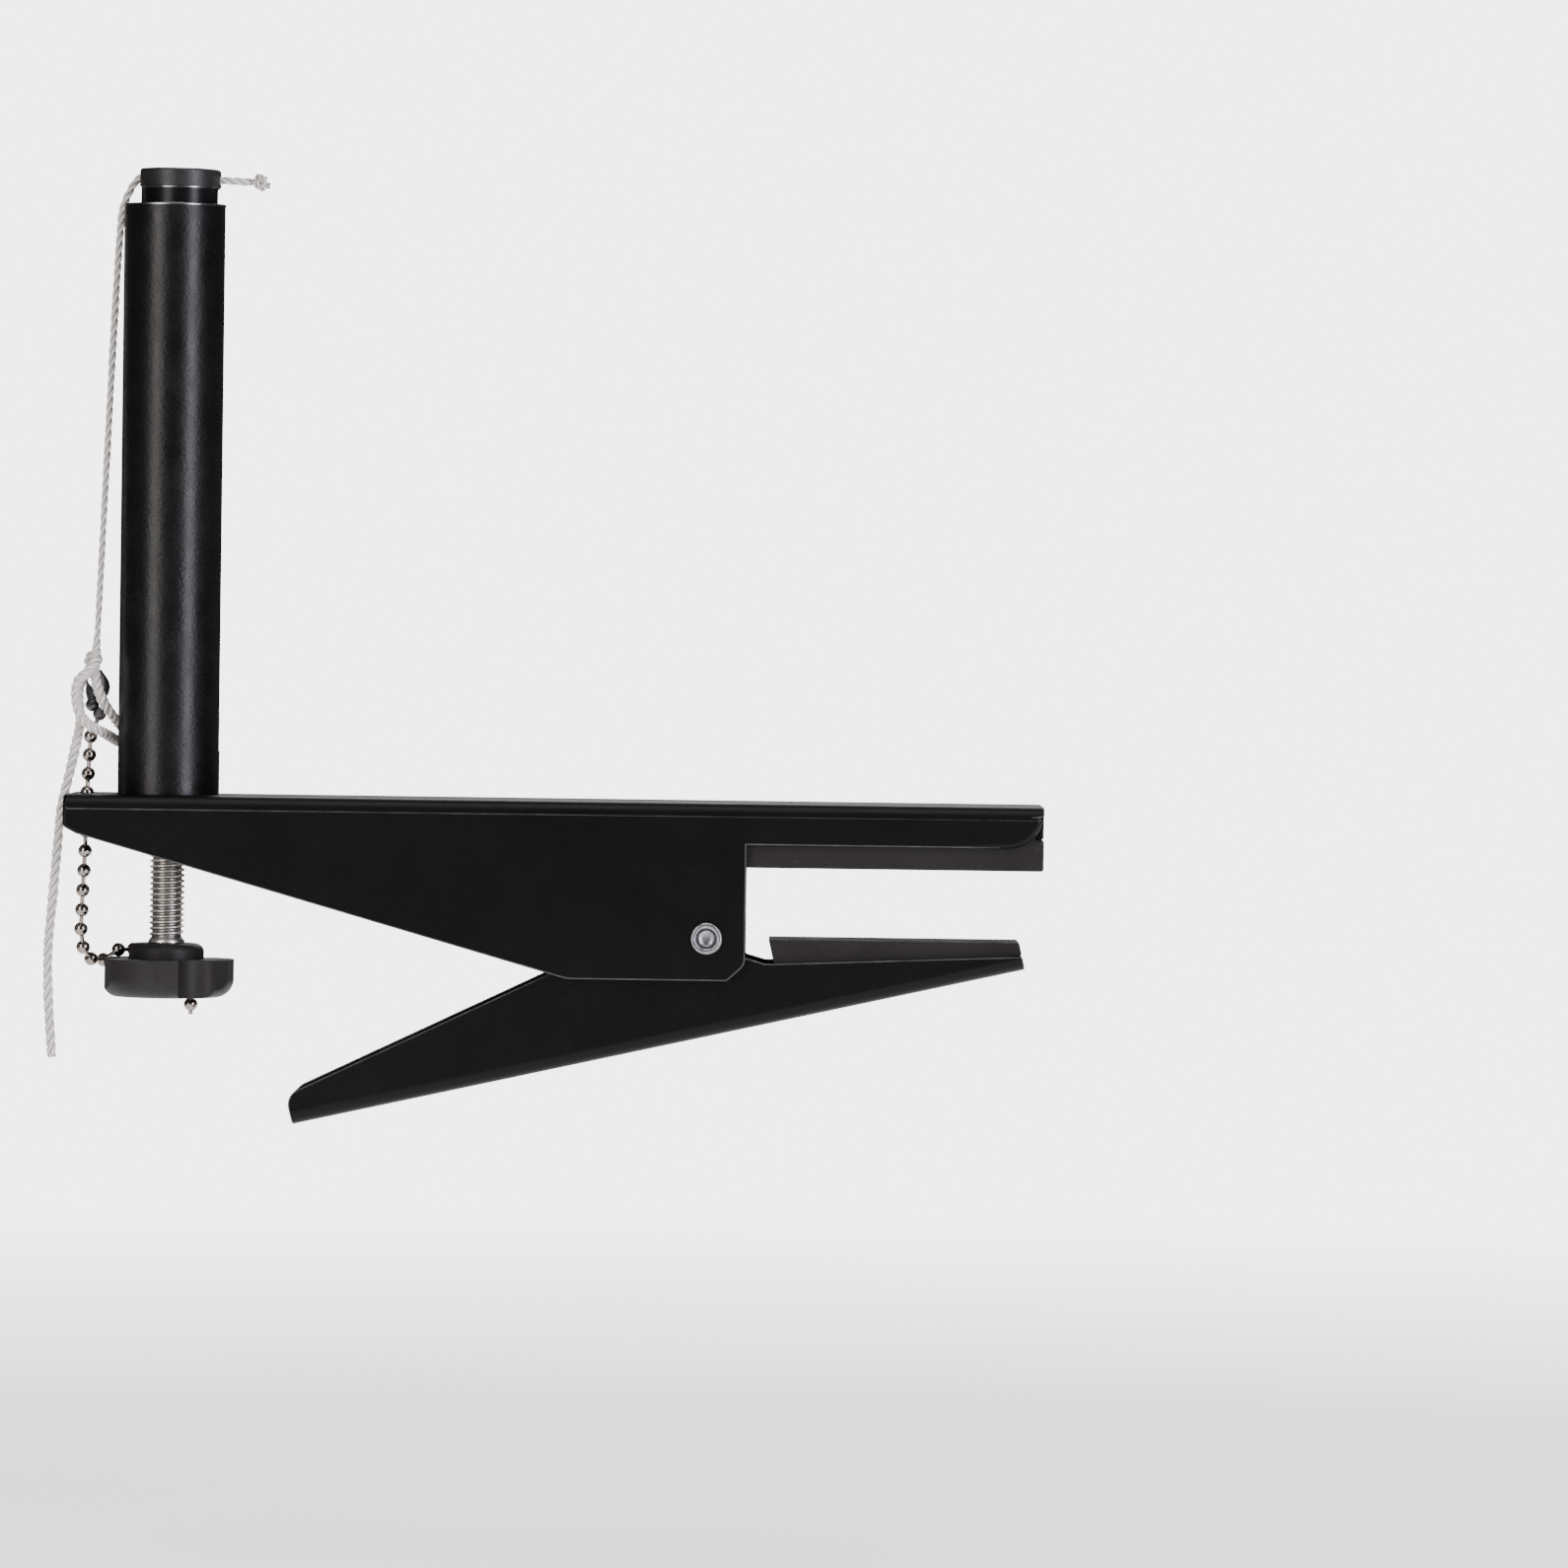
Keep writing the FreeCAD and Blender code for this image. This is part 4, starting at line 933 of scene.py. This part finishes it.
def bead_mesh(centre, heading):
    """A pressed hollow ball with a punched hole at each end.

    The hole's outline is given as shares of its own radius and of the ball's.
    """
    hole = [(HOLE_RADIUS * across, BEAD_RADIUS * up) for across, up in PUNCHED_HOLE]
    edge = math.asin(HOLE_RADIUS / BEAD_RADIUS)
    rings = 16
    profile = [(radius, -height) for radius, height in hole]
    for ring in range(rings + 1):
        angle = edge + (math.pi - 2 * edge) * ring / rings
        profile.append((BEAD_RADIUS * math.sin(angle), -BEAD_RADIUS * math.cos(angle)))
    profile += reversed(hole)
    verts, faces = lathe(profile, 28)
    turn = Vector(heading).to_track_quat("Z", "X").to_matrix()
    return [Vector(centre) + turn @ vert for vert in verts], faces


def link_mesh(start, end):
    """The dumb-bell wire between two balls, a little thinner at its middle."""
    run = end - start
    steps = 8
    waist = 0.14
    line = [start + run * (step / steps) for step in range(steps + 1)]

    def radius_at(index):
        return LINK_RADIUS * (1 - waist * math.sin(math.pi * index / steps))

    verts, faces, _ = tube(line, radius_at, 12)
    return verts, faces


def chain_parts(places, before=None, after=None):
    """Each ball's mesh with the wire that leads to it; before and after are the next balls past the ends."""
    centres = [Vector(place) * MM for place in places]
    parts = []
    for index, centre in enumerate(centres):
        back = centres[index - 1] if index else before
        ahead = centres[index + 1] if index + 1 < len(centres) else after
        heading = (ahead or centre) - (back or centre)
        meshes = [bead_mesh(centre, heading)]
        if back is not None:
            step = (centre - back).normalized()
            meshes.append(link_mesh(back + step * LINK_REACH, centre - step * LINK_REACH))
        parts.append(gather(meshes))
    return parts


def strap_mesh(route, thin, thick):
    """A round strap along the route, thin at its upper end and blunt at its lower one."""
    line = evenly(smooth_line(route, 12), 0.25 * MM)
    last = len(line) - 1

    def radius_at(index):
        return thin + (thick - thin) * blend_in(min(index, (last - index) * 3), 0, last * 0.6)

    verts, faces, _ = tube(line, radius_at, 16)
    return verts, faces


def make_coupling():
    """The chain's dark folded coupling inside the cord's loop, with two of its balls gripped in it."""
    parts = [
        strap_mesh(COUPLING_STRAP, 0.25 * MM, 1.1 * MM),
        strap_mesh(COUPLING_BACK, 0.5 * MM, 1.15 * MM),
    ]
    for before, place in zip(COUPLING_BEADS, COUPLING_BEADS[1:]):
        parts.append(bead_mesh(Vector(place) * MM, Vector(place) - Vector(before)))
    coupling = add_piece("chain_coupling", *gather(parts), "spring_steel")
    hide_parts("bead_chain_tie")
    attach(coupling, "bracket")


def make_chains():
    """The chain in three runs: tied to the cord, hanging, and round the knob with its last ball loose."""
    tie_end = Vector(CHAIN_TIE[-1]) * MM
    drop_start = Vector(CHAIN_DROP[0]) * MM
    drop_end = Vector(CHAIN_DROP[-1]) * MM
    tail_start = Vector(CHAIN_TAIL[0]) * MM
    coupling_end = Vector(COUPLING_BEADS[-1]) * MM

    tie_parts = chain_parts(CHAIN_TIE, before=coupling_end, after=drop_start)
    tie = add_piece("chain_tie_beads", *gather(tie_parts), "bead_nickel")
    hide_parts("bead_chain_tie")
    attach(tie, "bracket")
    make_coupling()

    tail_parts = chain_parts(CHAIN_TAIL, before=drop_end)
    tip = Vector(CHAIN_TAIL[-1]) * MM
    link_top = tip - Vector((0, 0, LINK_REACH))
    link_tip = tip - Vector((0, 0, BEAD_RADIUS + LINK_END))
    tail_parts.append(link_mesh(link_top, link_tip))
    tail = add_piece("chain_tail_beads", *gather(tail_parts), "bead_nickel")
    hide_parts("bead_chain_tail")
    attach(tail, "knob_screw")

    drop = chain_parts(CHAIN_DROP, before=tie_end, after=tail_start)
    for index, (part, place) in enumerate(zip(drop, CHAIN_DROP)):
        piece = add_piece(f"chain_drop_bead_{index + 1}", *part, "bead_nickel")
        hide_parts("bead_chain_drop")
        follow_softly(piece, (index + 0.5) / len(CHAIN_DROP))


def follow_softly(piece, share):
    """Bakes the piece's transform where it stands; the point on the blend for the given share is searched for but
    not used, so the piece does not move with the post.
    """
    low, high = 0.0, 1.0
    for _ in range(40):
        middle = (low + high) / 2
        if blend_in(middle, 0.0, 1.0) < share:
            low = middle
        else:
            high = middle
    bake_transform(piece)


# --------------------------------------------------------------------------------- screw and spring

THREAD_FLANKS = (
    (THREAD_ROOT, 0.0),
    (THREAD_ROOT, 0.125),
    (THREAD_CREST, 0.44),
    (THREAD_CREST, 0.56),
    (THREAD_ROOT, 0.875),
)
COLLAR_RADIUS = 4.05 * MM
SHOULDER_RADIUS = 3.9 * MM
TIP_RADIUS = 3.0 * MM
NECK_RADIUS = 2.2 * MM
NECK_LOW = 30.0 * MM
NECK_HIGH = 32.0 * MM


def thread_mesh(thread_low, thread_high):
    """One thread wound up the Z axis, running out to nothing at both ends."""
    segments = 48
    run_out = segments * 0.4
    steps = int((thread_high - thread_low) / THREAD_PITCH * segments)
    verts = []
    faces = []
    for step in range(steps + 1):
        angle = 2 * math.pi * step / segments
        rise = thread_low + THREAD_PITCH * step / segments
        fade = blend_in(min(step, steps - step), 0, run_out)
        for radius, share in THREAD_FLANKS:
            depth = THREAD_ROOT + (radius - THREAD_ROOT) * fade
            height = rise + share * THREAD_PITCH
            verts.append(Vector((depth * math.cos(angle), depth * math.sin(angle), height)))
    count = len(THREAD_FLANKS)
    for step in range(steps):
        for corner in range(count - 1):
            base = step * count + corner
            faces.append((base, base + count, base + count + 1, base + 1))
        if step + segments <= steps:
            top = step * count + count - 1
            above = (step + segments) * count
            faces.append((top, top + count, above + count, above))
    return verts, faces


def make_screw():
    """The height screw: collar on the knob, real thread, shoulder, and plain tip with the guide's neck."""
    low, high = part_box("height_screw")
    centre = Vector((SCREW_X, 0, 0))
    hub_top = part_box("knob")[1][2]
    thread_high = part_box("thrust_washer")[0][2] - 0.6 * MM
    core_radius = THREAD_ROOT - 0.02 * MM
    chamfer = 0.1 * MM
    tip_chamfer = 0.5 * MM
    core = [
        (0.0, low[2]),
        (THREAD_ROOT, low[2]),
        (THREAD_ROOT, hub_top + 0.05 * MM),
        (COLLAR_RADIUS - chamfer, hub_top + 0.05 * MM),
        (COLLAR_RADIUS, hub_top + 0.15 * MM),
        (COLLAR_RADIUS, hub_top + 0.5 * MM),
        (COLLAR_RADIUS - 0.45 * MM, hub_top + 1.1 * MM),
        (core_radius, hub_top + 1.6 * MM),
        (core_radius, thread_high),
        (SHOULDER_RADIUS, thread_high + chamfer),
        (SHOULDER_RADIUS, thread_high + 0.55 * MM),
        (TIP_RADIUS, thread_high + 0.6 * MM),
        (TIP_RADIUS, NECK_LOW),
        (NECK_RADIUS, NECK_LOW + chamfer),
        (NECK_RADIUS, NECK_HIGH - chamfer),
        (TIP_RADIUS, NECK_HIGH),
        (TIP_RADIUS, high[2] - tip_chamfer),
        (TIP_RADIUS - tip_chamfer, high[2]),
        (0.0, high[2]),
    ]
    verts, faces = gather([thread_mesh(hub_top + 0.7 * MM, thread_high), lathe(core, 64)])
    screw = add_piece("threaded_screw", [vert + centre for vert in verts], faces, "zinc_plate")
    screw.data.set_sharp_from_angle(angle=math.radians(40))
    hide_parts("height_screw")
    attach(screw, "knob_screw")


WIRE_RADIUS = 0.9 * MM
COIL_RADIUS = 6.2 * MM
COIL_TURNS = 8
UPPER_INSET = WIRE_RADIUS * 1.2
LOWER_INSET = WIRE_RADIUS * 1.6


def leave_coil(target, side):
    """The angle about the pivot where a straight leg to target, an (x, z) pair, touches the coil."""
    return math.atan2(target[1], target[0]) + side * math.acos(COIL_RADIUS / math.hypot(*target))


def make_spring():
    """The torsion spring's wire: leg under the web, coil on the pivot, leg on the lever."""
    low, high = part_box("torsion_spring")
    pivot = Vector(next(joint["pos_m"] for joint in frame["joints"] if joint["name"] == "lever_pivot"))
    side = (high[1] - low[1]) / 2 - WIRE_RADIUS
    upper = (low[0] + UPPER_INSET - pivot.x, high[2] - WIRE_RADIUS - pivot.z)
    lower = (low[0] + LOWER_INSET - pivot.x, low[2] + WIRE_RADIUS - pivot.z)
    first = leave_coil(upper, -1)
    last = leave_coil(lower, 1)
    turns = COIL_TURNS + (first - last) / (2 * math.pi)
    steps = int(turns * 40)
    leg_steps = 12
    line = [Vector((upper[0], -side, upper[1]))]
    start = Vector((COIL_RADIUS * math.cos(first), -side, COIL_RADIUS * math.sin(first)))
    line += [line[0].lerp(start, part / leg_steps) for part in range(1, leg_steps)]
    for step in range(steps + 1):
        angle = first - 2 * math.pi * turns * step / steps
        across = -side + 2 * side * step / steps
        line.append(Vector((COIL_RADIUS * math.cos(angle), across, COIL_RADIUS * math.sin(angle))))
    end = Vector((lower[0], side, lower[1]))
    touch = line[-1].copy()
    line += [touch.lerp(end, part / leg_steps) for part in range(1, leg_steps + 1)]
    verts, faces, _ = tube([point + pivot for point in line], lambda index: WIRE_RADIUS, 16)
    spring = add_piece("spring_wire", verts, faces, "spring_steel")
    spring.data.set_sharp_from_angle(angle=math.radians(50))
    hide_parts("torsion_spring")
    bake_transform(spring)


RIVET_EYE = ((0.0, 1.75), (0.9, 1.7), (1.6, 1.5), (2.02, 1.15), (2.12, 0.7))
RIM_MIDDLE = 2.87 * MM
RIM_HALF = 0.72 * MM
RIM_RISE = 0.62 * MM
SHANK_RADIUS = 3.0 * MM
HEAD_RADIUS = 5.0 * MM


def make_rivet():
    """The hollow-ended rivet: rolled rim and dished eye in front, domed head at the back.

    The eye is given in millimetres, as radius and depth below the rim.
    """
    low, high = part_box("pivot_rivet")
    axis = Vector(((low[0] + high[0]) / 2, 0, (low[2] + high[2]) / 2))
    front = -low[1]
    rear = -high[1]
    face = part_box("upper_bracket")[1][1]
    profile = [(radius * MM, front - depth * MM) for radius, depth in RIVET_EYE]
    steps = 8
    for step in range(steps + 1):
        angle = math.pi * (1 - step / steps)
        depth = front - RIM_RISE + RIM_RISE * math.sin(angle)
        profile.append((RIM_MIDDLE + RIM_HALF * math.cos(angle), depth))
    profile += [(3.6 * MM, face + 0.02 * MM), (SHANK_RADIUS, face), (SHANK_RADIUS, -face)]
    profile.append((HEAD_RADIUS - 0.05 * MM, -face))
    for step in range(steps):
        angle = math.pi / 2 * step / steps
        profile.append((HEAD_RADIUS * math.cos(angle) ** 0.8, -face + (rear + face) * math.sin(angle)))
    profile.append((0.0, rear))
    verts, faces = lathe(list(reversed(profile)), 64)
    verts = [Vector((vert.x, -vert.z, vert.y)) + axis for vert in verts]
    rivet = add_piece("rivet_finished", verts, faces, "nickel", "rivet_steel")
    rivet.data.set_sharp_from_angle(angle=math.radians(48))
    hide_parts("pivot_rivet")
    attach(rivet, "bracket")


LIP_HEIGHT = 0.5 * MM
LIP_DEPTH = 0.4 * MM
LIP_FROM = -10
LIP_SWEEP = 38
POST_LIP_RADIUS = 8.78 * MM
POST_LIP_DROP = 3.9 * MM


def make_lip(name, centre_x, radius, top, body):
    """A bright barrel-shaped band round the Z axis at centre_x, its slope given in degrees from upright."""
    steps = 8
    slopes = [math.radians(LIP_FROM + LIP_SWEEP * step / steps) for step in range(steps + 1)]
    bulge = LIP_HEIGHT / (math.sin(slopes[-1]) - math.sin(slopes[0]))
    middle = top - bulge * math.sin(slopes[-1])
    profile = [(radius - LIP_DEPTH, top - LIP_HEIGHT)]
    for slope in slopes:
        profile.append((radius - bulge * (1 - math.cos(slope)), middle + bulge * math.sin(slope)))
    profile += [(radius - LIP_DEPTH, top), (radius - LIP_DEPTH, top - LIP_HEIGHT)]
    verts, faces = lathe(profile, 128)
    centre = Vector((centre_x, 0, 0))
    lip = add_piece(name, [vert + centre for vert in verts], faces, "gloss_black", "polished_lip")
    lip.data.set_sharp_from_angle(angle=math.radians(40))
    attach(lip, body)


def make_rims():
    """Turned lips that catch the light: at the tube's mouth and on the post just under the cap."""
    low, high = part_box("post_tube")
    make_lip("tube_lip", (low[0] + high[0]) / 2, (high[0] - low[0]) / 2, high[2], "bracket")
    low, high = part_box("post_cap")
    make_lip("post_lip", (low[0] + high[0]) / 2, POST_LIP_RADIUS, high[2] - POST_LIP_DROP, "inner_post")


make_camera()
make_cord()
dress_frame()
make_chains()
make_screw()
make_spring()
make_rivet()
make_rims()
for node_name, edge_round in EDGE_ROUNDS.items():
    soften(node_name, edge_round)
make_studio()
make_floor()
